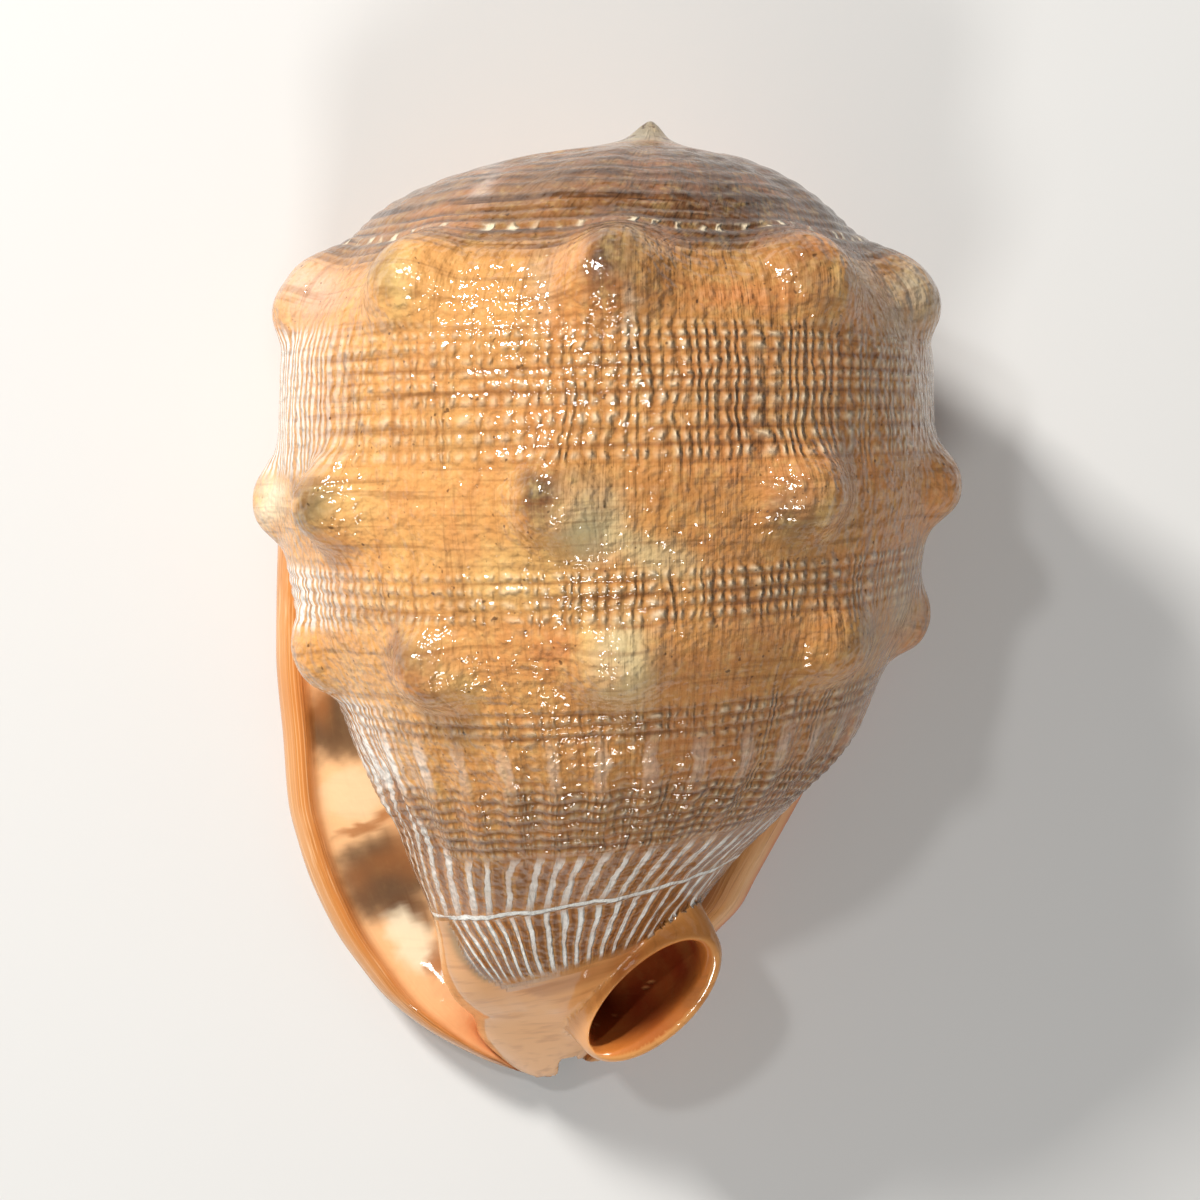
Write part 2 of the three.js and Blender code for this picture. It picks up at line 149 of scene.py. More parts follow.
# Rows of knobs: place, low band that joins them, height, half widths, and each knob's angle and prominence.
KNOB_ROWS = [
    {"y": 46, "band": 0.7, "height": 4.0, "round": 7.2, "up": 7.5, "down": 5.4,
     "knobs": ((83, 1), (45, 1.15), (7, 1.15), (-32, 1.15), (-71, 1), (-109, 1), (-147, 1))},
    {"y": 16.7, "band": 0.8, "height": 3.8, "round": 6.4, "up": 6.4, "down": 5.4,
     "knobs": ((94, 1), (59, 1.35), (16, 1), (-28, 1.2), (-74, 1), (-116, 1), (-150, 1))},
    {"y": -5.6, "band": 0.6, "height": 3.2, "round": 6.4, "up": 5.8, "down": 5,
     "knobs": ((80, 1.1), (42, 1.35), (6, 0.9), (-40, 0.9), (-84, 1), (-124, 1))},
]
KNOB_STEEPNESS = 1.5  # above 1, a knob has a flatter top and steeper sides than a bell curve
KNOB_TOPMOST = 0.25  # how much higher the knobs grow on top than at the sides, over their height
FOLDS = {"y": -25.5, "along": 6, "height": 0.9, "count": 34}

CHAMBER_SECTION = [
    (37, 31), (45, 31.5), (50.4, 37), (54, 48), (54.4, 62), (51.5, 76), (46, 88), (39, 98), (30.5, 108),
    (21, 118), (12, 123), (7, 119), (9, 106), (14, 92), (21, 80), (27, 70), (31.5, 60), (33.6, 50),
    (34, 38),
]
CHAMBER_FLOOR = 4.5
CHAMBER_GROWTH = 1.78
CHAMBER_PINCH = {"angle": -140, "width": 45, "amount": 0.09}
CHAMBER_FROM = 138
CHAMBER_TO = -440
CHAMBER_STEP = 9
CHAMBER_MOUTH = {"angle": 95, "amount": 0.15}  # it narrows from this angle on
APEX_Y = 75

# The siphonal canal: (place, half length, half width) of its ovals, from inside to the mouth.
CANAL_WALL = [
    ((-3, -49, 14), 17, 13), ((1, -54, 20), 17, 11.5), ((4.9, -58.3, 27), 16, 9.5),
    ((8, -62.4, 32), 15, 7.2), ((8.6, -63.2, 34.5), 13.8, 6.2),
]
CANAL_BORE = [
    ((-18, -40, 13), 8, 5), ((-6, -52, 14), 8.5, 4), ((2, -58.5, 19), 9.8, 3.5),
    ((6, -61.4, 26), 11.5, 3.8), ((7.2, -62.3, 31.5), 12.4, 4.3), ((7.9, -63.6, 38.5), 14.8, 5.9),
]
CANAL_TURN = 45
CANAL_RISE = 20

# ---- Detail that only this model has ----
# The spiral cords' crests, as places along the axis.
CORDS = [
    58.4, 56.9, 55.3, 53.6, 51.9, 50.2, 48.2, 46.0, 43.8, 41.8, 40.1, 38.6, 37.2, 35.1, 33.5, 32.2, 30.2,
    27.6, 25.4, 23.2, 21.0, 18.6, 16.2, 13.8, 11.4, 9.2, 7.3, 5.4, 3.5, 1.6, -0.5, -2.7, -4.9, -7.1, -9.2,
    -11.2, -13.0, -14.6, -16.3, -18.0, -19.7, -21.3, -22.8, -24.3, -25.9, -27.5, -29.1, -30.7, -32.3, -34.1,
    -36.1, -38.2, -40.4, -42.6, -44.8,
]
# How high the cords stand, by place along the axis.
cord_height = through([
    (75, 0), (70, 0.1), (62, 0.22), (51, 0.26), (49.5, 0.07), (40.2, 0.05), (39, 0.28), (34, 0.32),
    (30.2, 0.42), (23, 0.32), (21.8, 0.06), (8.4, 0.05), (7.2, 0.26), (0.9, 0.26), (-0.2, 0.05),
    (-11, 0.05), (-12.2, 0.24), (-15.6, 0.2), (-17, 0.07), (-22.5, 0.07), (-24, 0.24), (-33.2, 0.24),
    (-35, 0.08), (-44, 0.05), (-80, 0),
])
CORD_BREADTH = 0.6  # below 1, a cord is broader than the groove beside it
CORDS_OFF_KNOBS = 1.2  # how soon the cords fade out on the knobs
RIB_PITCH = 2.08  # degrees between ribs
FASCIOLE = {"y": -51.5, "along": 5.6, "height": 1.1}  # the swollen band round the canal's base
# Unevenness: turns round the shell, mm along it, height and start.
SWELLS = [(5, 11.0, 0.16, 0.3), (9, -7.0, 0.12, 1.9), (14, 5.3, 0.09, 4.0), (23, -3.7, 0.06, 2.2)]

ROWS_PER_CORD = 4
SPIRE_STEP = 0.9
CANAL_STEP = 0.8
BODY_COLUMNS = 180
EDGE_COLUMNS = (4, 6, 6, 6, 6, 4, 4, 6, 6, 4, 4, 6, 6, 6, 4)
EDGE_RUN_IN = 8  # degrees from the edges' ends to the points that lead their curve in and out
END_GAPS = (1.0, 2.2)  # mm left at the ends of the outline, which are drawn to points
SMOOTH_ENDS = 15  # nearer the axis than this, both ends are without relief
OUTLINE_SAMPLES = 4000
CORD_SAMPLES = 6000
WALL_STEPS = 48
BORE_STEPS = 50
OVAL_SIDES = 96

# Rounding of the edges that the cuts leave: their least angle, and how far it reaches in mm.
CREASE_ANGLE = 38
RIDGE_REACH = (0.2, 1.5)
HOLLOW_REACH = (0.5, 3.2)
ROUNDS = 14
OUTSIDE_LEAD = 0.25  # by so much the outside is taken as nearer than it is
TOUCHING = 1e-3  # mm: a point this near to the outside is on it

# The camera, straight above.
CAMERA_HEIGHT = 700
PICTURE_PIXELS = 1200
MM_PER_PIXEL = 0.157
VIEW_PLANE = 38  # height at which the picture's scale is stated
VIEW_WIDTH = PICTURE_PIXELS * MM_PER_PIXEL


cord_phase = through([(v, i) for i, v in enumerate(CORDS)] + [(76, -9), (-81, len(CORDS) + 16)])


def centre_z(y):
    return centre_z_flat(y) + AXIS_TILT * np.maximum(y, 0)


def growth(angle, y):
    return whorl_growth(y) ** (angle / 360)


class Outline:
    """The outline by the distance along it: radius, y and the way that it faces."""

    def __init__(self):
        points = np.array(OUTLINE, float)
        along = np.concatenate([[0], np.cumsum(np.hypot(*np.diff(points, axis=0).T))])
        self.length = along[-1]
        self.radius = through(list(zip(along, points[:, 0])))
        self.y = through(list(zip(along, points[:, 1])))

    def facing(self, distance):
        out = self.y(distance - 1) - self.y(distance + 1)
        up = self.radius(distance + 1) - self.radius(distance - 1)
        size = np.hypot(out, up)
        return out / size, up / size

    def distance(self, y):
        places = np.linspace(0, self.length, OUTLINE_SAMPLES)
        return np.interp(-np.asarray(y), -self.y(places), places)


outline = Outline()


# ---- The outside ----
def knob_share(angle, y, radius):
    """How much of a knob there is at each point, and how much of its row's band."""
    knobs = np.zeros(np.broadcast(angle, y).shape)
    height = np.zeros_like(knobs)
    for row in KNOB_ROWS:
        up = (y - row["y"]) / np.where(y > row["y"], row["up"], row["down"])
        height += row["band"] * np.exp(-up * up)
        for at, prominence in row["knobs"]:
            around = np.radians(angle - at) * radius / row["round"]
            share = np.exp(-((around**2 + up**2) ** KNOB_STEEPNESS))
            knobs += share
            top = row["height"] * (1 + KNOB_TOPMOST * max(math.cos(math.radians(at)), 0))
            height += top * prominence * share
    return knobs, height


def relief(angle, y, radius):
    """How far the back of the shell stands proud of its smooth outline."""
    knobs, height = knob_share(angle, y, radius)
    fold = (y - FOLDS["y"]) / FOLDS["along"]
    crests = 0.5 + 0.5 * np.cos(np.radians(angle) * FOLDS["count"])
    height = height + FOLDS["height"] * np.exp(-fold * fold) * crests
    fasciole = (y - FASCIOLE["y"]) / FASCIOLE["along"]
    height = height + FASCIOLE["height"] * np.exp(-np.abs(fasciole) ** 3)
    height = height + swell(angle, y)
    wave = 0.5 + 0.5 * np.cos(2 * np.pi * cord_phase(y))
    cord = wave**CORD_BREADTH - 0.5
    return height + cord_height(y) * cord * np.clip(1 - CORDS_OFF_KNOBS * knobs, 0, 1)


def swell(angle, y):
    """The slight unevenness of the growing shell."""
    a = np.radians(angle)
    uneven = 0.0
    for turns, along, size, shift in SWELLS:
        uneven = uneven + size * np.sin(turns * a + y / along + shift)
    return uneven


def whorl(angle, place, spread):
    """Points on the whorl, at angles and places of the outline."""
    y, radius, out, up = place
    a = np.radians(angle)
    bare = radius * spread
    height = np.where((radius > SMOOTH_ENDS) & (np.abs(angle) < 180), relief(angle, y, bare), 0)
    r = bare + height * out
    return np.stack([
        centre_x(y) - r * np.sin(a),
        y + height * up + dorsal_lean(y) * np.maximum(np.cos(a), LEAN_LEAST) + side_lean(y) * np.sin(a),
        centre_z(y) + r * np.cos(a) * FLATTENING,
    ], axis=-1)


def closing(angle, y):
    """Underneath, the whorl closes on itself: from the lip's side back to the shield's side."""
    start = growth(LIP_SIDE, y)
    end = growth(SHIELD_SIDE, y)
    return np.array([
        float(through([(LIP_SIDE, a), *CLOSING, (SHIELD_SIDE + 360, b)])(angle)) for a, b in zip(start, end)
    ])


def flat_controls(y, start):
    """Across the lip, the slit and the shield: x and height of each control point, on a flat underside."""
    s = slit_x(y)
    w = slit_width(y) / 2
    left = np.minimum(lip_edge(y), s - w - 1)
    right = np.maximum(shield_edge(y), s + w + 1)
    z = underside_z(y)
    e = np.minimum(rim_size(y), np.minimum((s - w - left) / 12, (right - s - w) / 10))
    return [
        (lerp(left + 7 * e, start[:, 0], 0.5), lerp(z + 9 * e, start[:, 2], 0.4)),
        (left + 6.2 * e, z + 9.6 * e),
        (left + 3.4 * e, z + 11.2 * e),
        (left, z + 6.5 * e),
        (left + 3.4 * e, z + 1.3 * e),
        (left + 10.5 * e, z - 0.6),
        (s - w - 1.5 * e, z + 1.6),
        (s, z + 3.2),
        (s + w + 1.5 * e, z + 1.6),
        (lerp(s, right, 0.42), z - 0.7),
        (right - 8 * e, z + 1.8),
        (right, z + 6 * e),
        (right - 2.6 * e, z + 9.2 * e),
        (right - 7 * e, z + 10.4 * e),
    ]


def edge_controls(place):
    """The lip, the underside and the shield, as control points of each section."""
    y_row = place[0]
    start = whorl(LIP_SIDE, place, growth(LIP_SIDE, y_row))
    end = whorl(SHIELD_SIDE, place, growth(SHIELD_SIDE, y_row))
    points = [start]
    for k in range(1, len(EDGE_COLUMNS)):
        share = k / len(EDGE_COLUMNS)
        angle = lerp(LIP_SIDE, SHIELD_SIDE + 360, share)
        round_whorl = whorl(np.full_like(y_row, angle), place, closing(angle, y_row))
        y = y_row + side_lean(y_row) * math.cos(math.pi * share)
        x, height = flat_controls(y, start)[k - 1]
        flat = np.stack([x, y, height], axis=-1)
        points.append(lerp(round_whorl, flat, disc_weight(y)[:, None]))
    points.append(end)
    return points


def catmull(before, points, after, columns):
    """A centripetal curve through the points, with so many columns from each to the next."""
    chain = [before, *points, after]
    gaps = [np.sqrt(np.linalg.norm(b - a, axis=-1))[:, None] for a, b in zip(chain, chain[1:])]
    gaps = [np.where(g < 1e-2, 1.0, g) for g in gaps]
    out = []
    for i, count in enumerate(columns):
        p0, p1, p2, p3 = chain[i:i + 4]
        d0, d1, d2 = gaps[i:i + 3]
        t1 = ((p1 - p0) / d0 - (p2 - p0) / (d0 + d1) + (p2 - p1) / d1) * d1
        t2 = ((p2 - p1) / d1 - (p3 - p1) / (d1 + d2) + (p3 - p2) / d2) * d1
        c2 = -3 * p1 + 3 * p2 - 2 * t1 - t2
        c3 = 2 * p1 - 2 * p2 + t1 + t2
        for t in np.arange(count) / count:
            out.append(p1 + t1 * t + c2 * t * t + c3 * t**3)
    return out


def row_places():
    """Distances of the sections along the outline: so many to each cord, and even steps beyond them."""
    phases = np.arange(0, len(CORDS) - 1 + 1e-9, 1 / ROWS_PER_CORD)
    ys = np.linspace(CORDS[0], CORDS[-1], CORD_SAMPLES)
    corded = outline.distance(np.interp(phases, cord_phase(ys), ys))
    spire = np.arange(END_GAPS[0], corded[0] - SPIRE_STEP / 2, SPIRE_STEP)
    canal = np.arange(corded[-1] + CANAL_STEP, outline.length - END_GAPS[1], CANAL_STEP)
    return np.concatenate([spire, corded, canal])


def outside():
    """The outside's sections as an array (row, column, xyz), with what each vertex stands for."""
    distance = row_places()
    y = outline.y(distance)
    radius = outline.radius(distance)
    out, up = outline.facing(distance)
    angles = np.linspace(SHIELD_SIDE, LIP_SIDE, BODY_COLUMNS, endpoint=False)
    wide = tuple(q[:, None] for q in (y, radius, out, up))
    body = whorl(angles[None, :], wide, growth(angles[None, :], y[:, None]))
    place = (y, radius, out, up)
    controls = edge_controls(place)
    before, after = (
        whorl(side, place, growth(side, y)) for side in (LIP_SIDE - EDGE_RUN_IN, SHIELD_SIDE + EDGE_RUN_IN)
    )
    edge = np.stack(catmull(before, controls, after, EDGE_COLUMNS), axis=1)
    edge_places = np.concatenate([i + np.arange(n) / n for i, n in enumerate(EDGE_COLUMNS)])
    edge_angles = lerp(LIP_SIDE, SHIELD_SIDE + 360, edge_places / len(EDGE_COLUMNS))
    rings = np.concatenate([body, edge], axis=1)
    count = rings.shape[1]
    facts = {
        "v": np.repeat(y[:, None], count, 1),
        "angle": np.repeat(np.concatenate([angles, edge_angles])[None], len(y), 0),
        "edge": np.repeat(np.concatenate([np.full(BODY_COLUMNS, -1.0), edge_places])[None], len(y), 0),
    }
    return rings, facts


# ---- Meshes and how they are joined and cut ----
def loft_mesh(name, rings, end_points):
    """A closed mesh through rings of points, with each end drawn together to a point."""
    rows, count = rings.shape[:2]
    points = np.concatenate([rings.reshape(-1, 3), np.asarray(end_points, float)])
    i = np.arange(count)
    following = (i + 1) % count
    faces = []
    for j in range(rows - 1):
        a, b = j * count + i, j * count + following
        faces.append(np.stack([a, b, b + count, a + count], axis=1))
    quads = np.concatenate(faces).tolist()
    first = rows * count
    last = first - count
    caps = [(first, int(n), int(k)) for k, n in zip(i, following)]
    caps += [(first + 1, int(last + k), int(last + n)) for k, n in zip(i, following)]
    mesh = bpy.data.meshes.new(name)
    mesh.from_pydata(points.tolist(), [], quads + caps)
    work = bmesh.new()
    work.from_mesh(mesh)
    if work.calc_volume(signed=True) < 0:
        bmesh.ops.reverse_faces(work, faces=work.faces)
    work.to_mesh(mesh)
    work.free()
    piece = bpy.data.objects.new(name, mesh)
    bpy.context.scene.collection.objects.link(piece)
    return piece


def chamber_rings():
    """The last whorl's chamber, section by section as it winds back."""
    corners = np.array(CHAMBER_SECTION, float)
    looped = [corners[i % len(corners)][None] for i in range(-1, len(corners) + 2)]
    section = np.concatenate(catmull(looped[0], looped[1:-1], looped[-1], [2] * len(corners)))
    rings = []
    for angle in np.arange(CHAMBER_FROM, CHAMBER_TO, -float(CHAMBER_STEP)):
        scale = CHAMBER_GROWTH ** ((angle - 90) / 360)
        mouth = smoothstep(CHAMBER_MOUTH["angle"], CHAMBER_FROM, angle)
        pinch = math.exp(-(((angle - CHAMBER_PINCH["angle"]) / CHAMBER_PINCH["width"]) ** 2))
        narrowing = 1 - CHAMBER_MOUTH["amount"] * mouth - CHAMBER_PINCH["amount"] * pinch
        a = math.radians(angle)
        y = APEX_Y - section[:, 1] * scale
        r = section[:, 0] * scale * narrowing
        z = np.maximum(centre_z(y) + r * math.cos(a) * FLATTENING, underside_z(y) + CHAMBER_FLOOR)
        rings.append(np.stack([centre_x(y) - r * math.sin(a), y, z], -1))
    return np.stack(rings)


def slit_rings():
    """The toothed slit of the mouth, from the spire's end to the canal's."""
    rings = []
    start, end = SLIT_ENDS
    for y in np.arange(start, end, -TOOTH_PITCH / SLIT_STEPS):
        wave = 0.5 + 0.5 * math.cos(2 * math.pi * y / TOOTH_PITCH)
        tooth = TOOTH_DEPTH * wave * smoothstep(TEETH_FROM - 2, TEETH_FROM + 2, y)
        x, half, top, base = slit_x(y), slit_width(y) / 2, slit_top(y), underside_z(y)
        flare = max(0, SHIELD_END - y) * SLIT_FLARE
        side = [
            (half + 5, base - 8), (half + 0.9 - tooth * 0.6, base + 1.6), (half - tooth * 0.85, base + 3.4),
            (half - tooth, base + 6), (half * 0.95 - tooth * 0.5, base + 9), (half * 0.9, top),
        ]
        left = [(x - w, y, z) for w, z in side]
        right = [(x + w + flare, y, z) for w, z in reversed(side)]
        rings.append(np.array(left + right, float))
    return np.stack(rings)


def oval_rings(stations, steps):
    """Ovals along a curve through the stations, all turned the way that the canal faces."""
    middles = [np.array(at, float)[None] for at, _, _ in stations]
    before = 2 * middles[0] - middles[1]
    after = 2 * middles[-1] - middles[-2]
    stretches = len(stations) - 1
    per = steps // stretches
    path = np.concatenate(catmull(before, middles, after, [per] * stretches) + [middles[-1]])
    t = np.linspace(0, stretches, len(path))
    long = through([(i, s[1]) for i, s in enumerate(stations)])(t)[:, None, None]
    short = through([(i, s[2]) for i, s in enumerate(stations)])(t)[:, None, None]
    turn, rise = math.radians(CANAL_TURN), math.radians(CANAL_RISE)
    a = np.array([math.cos(turn) * math.cos(rise), math.sin(turn) * math.cos(rise), math.sin(rise)])
    b = np.array([-math.sin(turn), math.cos(turn), 0])
    q = np.linspace(0, 2 * math.pi, OVAL_SIDES, endpoint=False)[None, :, None]
    return path[:, None, :] + long * np.cos(q) * a + short * np.sin(q) * b


def combine(base, other, operation):
    """Joins another solid to the base one, or cuts it away."""
    modifier = base.modifiers.new(operation, "BOOLEAN")
    modifier.object = other
    modifier.operation = operation
    modifier.solver = "MANIFOLD"
    bpy.context.view_layer.update()
    graph = bpy.context.evaluated_depsgraph_get()
    mesh = bpy.data.meshes.new_from_object(base.evaluated_get(graph))
    base.modifiers.clear()
    base.data = mesh
    bpy.data.objects.remove(other)


def edge_arrays(mesh):
    edges = np.empty(len(mesh.edges) * 2, np.int32)
    mesh.edges.foreach_get("vertices", edges)
    return edges.reshape(-1, 2)


def points_of(mesh):
    points = np.empty(len(mesh.vertices) * 3)
    mesh.vertices.foreach_get("co", points)
    return points.reshape(-1, 3)


def nearest(points, targets, count=1):
    """For each point, the distances to and numbers of the nearest targets."""
    tree = kdtree.KDTree(len(targets))
    for i, target in enumerate(targets.tolist()):
        tree.insert(target, i)
    tree.balance()
    found = [tree.find_n(point, count) for point in points.tolist()]
    distance = np.array([[hit[2] for hit in hits] for hits in found])
    number = np.array([[hit[1] for hit in hits] for hits in found])
    return distance, number


def creases(mesh, sharpness):
    """The points on edges sharper than this angle: those of ridges, and those of hollows."""
    work = bmesh.new()
    work.from_mesh(mesh)
    ridge, hollow = [], []
    for edge in work.edges:
        if len(edge.link_faces) == 2 and edge.calc_face_angle(0) > sharpness:
            (ridge if edge.is_convex else hollow).append((edge.verts[0].co + edge.verts[1].co) / 2)
    work.free()
    return np.array(ridge), np.array(hollow)


def round_off(mesh, weights):
    """Draws points towards the middle of their neighbours, by their weight."""
    edges = edge_arrays(mesh)
    points = points_of(mesh)
    degree = np.bincount(edges.ravel(), minlength=len(points))[:, None]
    for _ in range(ROUNDS):
        total = np.zeros_like(points)
        np.add.at(total, edges[:, 0], points[edges[:, 1]])
        np.add.at(total, edges[:, 1], points[edges[:, 0]])
        points += 0.5 * weights[:, None] * (total / degree - points)
    return points


OUTSIDE, WALL, CHAMBER, SLIT, BORE = range(5)  # the surfaces that the shell is made from


def shell_solid():
    """The shell as one closed mesh, the surfaces that it is made from, and the outside's facts."""
    rings, facts = outside()
    surfaces = {
        OUTSIDE: rings,
        WALL: oval_rings(CANAL_WALL, WALL_STEPS),
        CHAMBER: chamber_rings(),
        SLIT: slit_rings(),
        BORE: oval_rings(CANAL_BORE, BORE_STEPS),
    }
    apex = (float(centre_x(APEX_Y)), APEX_Y, float(centre_z(APEX_Y)))
    tip = rings[-1].mean(0) - (0, 0.3, 0)
    shell = loft_mesh("helmet_shell", rings, [apex, tip])
    for kind in (WALL, CHAMBER, SLIT, BORE):
        piece = surfaces[kind]
        other = loft_mesh("cutter", piece, [piece[0].mean(0), piece[-1].mean(0)])
        combine(shell, other, "UNION" if kind == WALL else "DIFFERENCE")
    return shell, surfaces, facts


def sources_of(points, surfaces):
    """Which surface each point comes from, and the outside's nearest vertices and their weights."""
    distance, number = nearest(points, surfaces[OUTSIDE].reshape(-1, 3), 3)
    weight = 1 / (distance + 1e-4) ** 2
    weight /= weight.sum(1, keepdims=True)
    gaps = [distance[:, 0] - OUTSIDE_LEAD]
    for kind in (WALL, CHAMBER, SLIT, BORE):
        gaps.append(nearest(points, dense(surfaces[kind]))[0][:, 0])
    source = np.argmin(np.stack(gaps), axis=0)
    source[distance[:, 0] < TOUCHING] = OUTSIDE
    return source, number, weight, distance[:, 0]


def dense(rings):
    """Extra points between the sections, so that the nearest one is never far."""
    mid = (rings[:-1] + rings[1:]) / 2
    return np.concatenate([rings.reshape(-1, 3), mid.reshape(-1, 3)])


def finished_shell():
    """The shell with its cut edges rounded off, and its painted attributes."""
    shell, surfaces, facts = shell_solid()
    mesh = shell.data
    points = points_of(mesh)
    source, number, weight, gap = sources_of(points, surfaces)
    carried = {}
    for name, values in facts.items():
        carried[name] = (values.reshape(-1)[number] * weight).sum(1)
    nearest_edge = facts["edge"].reshape(-1)[number[:, 0]]
    carried["edge"] = np.where(nearest_edge < 0, -1.0, carried["edge"])
    ridge, hollow = creases(mesh, math.radians(CREASE_ANGLE))
    weights = np.maximum(
        1 - smoothstep(*RIDGE_REACH, nearest(points, ridge)[0][:, 0]),
        1 - smoothstep(*HOLLOW_REACH, nearest(points, hollow)[0][:, 0]),
    )
    points = round_off(mesh, weights)
    points[:, 2] = np.maximum(points[:, 2], 0)
    for name, values in paint(points, source=source, gap=gap, **carried).items():
        if values.ndim == 2:
            layer = mesh.attributes.new(name, "FLOAT_COLOR", "POINT")
            layer.data.foreach_set("color", np.concatenate([values, np.ones((len(values), 1))], 1).ravel())
        else:
            mesh.attributes.new(name, "FLOAT", "POINT").data.foreach_set("value", values)
    points = (points - (*ORIGIN, 0)) * MM
    mesh.vertices.foreach_set("co", points.ravel())
    mesh.polygons.foreach_set("use_smooth", np.ones(len(mesh.polygons), bool))
    mesh.update()
    return shell


# ---- Colours ----
def linear(red, green, blue):
    """A colour given as it looks on a screen, 0 to 255, as light."""
    c = np.array([red, green, blue]) / 255
    return np.where(c <= 0.04045, c / 12.92, ((c + 0.055) / 1.055) ** 2.4)


PALETTE = {name: linear(*rgb) for name, rgb in {
    "tan": (230, 168, 98),
    "golden": (216, 150, 78),
    "flush": (216, 134, 78),
    "sienna": (164, 100, 50),
    "brown": (130, 82, 40),
    "dark_brown": (88, 54, 28),
    "umber": (56, 32, 16),
    "smoke": (108, 76, 48),
    "cream": (250, 232, 198),
    "white": (255, 252, 244),
    "bone": (196, 184, 156),
    "olive": (116, 98, 58),
    "grey_green": (130, 114, 80),
    "grey": (70, 60, 52),
    "celadon": (218, 204, 156),
    "straw": (240, 204, 130),
    "mauve": (230, 190, 164),
    "orange": (208, 124, 54),
    "amber": (224, 156, 86),
    "peach": (244, 190, 136),
    "salmon": (224, 130, 84),
    "red_brown": (134, 42, 22),
    "blue_grey": (150, 156, 158),
}.items()}

# How strongly the ribs show, by place along the axis.
FINE = [
    (76, 0), (69, 0.1), (62, 0.1), (52, 0.15), (49.5, 0.12), (41, 0.15), (39, 0.9), (30, 1), (23, 0.9),
    (21.5, 0.15), (8.6, 0.12), (7.2, 0.9), (0.9, 0.9), (-0.4, 0.12), (-11, 0.12), (-12.2, 0.9),
    (-15.4, 0.8), (-17, 0.3), (-22.5, 0.3), (-24.2, 0.9), (-33.2, 0.9), (-35, 0.35), (-44.5, 0.3),
    (-46, 0.1), (-57, 0.1), (-60, 0),
]
# Dark spiral lines: place along the axis, and strength.
DARK_LINES = [
    (67.2, 0.8), (66.0, 0.9), (64.8, 0.8), (63.5, 0.9), (62.2, 0.7), (60.0, 0.9), (57.6, 0.6), (56.0, 0.8),
    (53.8, 0.9), (52.5, 0.8), (51.2, 0.8), (49.9, 0.5), (39.5, 0.25), (36.2, 0.35), (34.3, 0.3),
    (31.2, 0.6), (26.5, 0.5), (24.3, 0.3), (4.4, 0.5), (2.5, 0.25), (-12.1, 0.35), (-13.8, 0.6),
    (-15.4, 0.7), (-23.6, 0.7), (-25.1, 0.8), (-26.7, 0.8), (-28.3, 0.9), (-29.9, 0.8), (-31.5, 1.0),
    (-33.2, 0.9), (-35.1, 0.5), (-43.4, 0.35),
]
# How much darker and browner the back is, by place along the axis: at its lip side, and at its far side.
# Towards the far side this is partly the shell's own brown and partly painted shade, on the side turned away
# from the key light.
BROWN_NEAR = [
    (76, 0.3), (62, 0.45), (55, 0.3), (49, 0), (-14, 0), (-20, 0.1), (-30, 0.2), (-44, 0.2), (-57, 0.3),
]
BROWN_AND_SHADE_FAR = [
    (76, 0.8), (62, 1), (55, 0.85), (48, 0.55), (30, 0.4), (10, 0.4), (-10, 0.5), (-18, 0.75), (-57, 0.8),
]
DARK_LINE_WIDTH = 0.42
WHITE_LINE = -44.9  # the thin ridge that parts the body from the fasciole, as a place along the axis
FASCIOLE_BREADTH = 11.3
BEAD_ROW = 54.8  # the row of white beads above the first knobs, as a place along the axis

# White growth streaks in front of the folds, and stripes of the fasciole: the angles at which they stand.
STREAKS = [
    94, 88, 83, 78, 73, 67, 59, 50, 44, 36, 28, 22, 16, 9, 2, -4, -11, -17, -24, -31, -38, -46, -54, -62,
    -71,
]
STRIPES = [
    94, 90, 85, 80, 75, 70, 65, 60, 54, 48, 43, 37, 31, 24, 17, 11, 4, -3, -10, -18, -26, -34, -42, -51,
    -60,
]
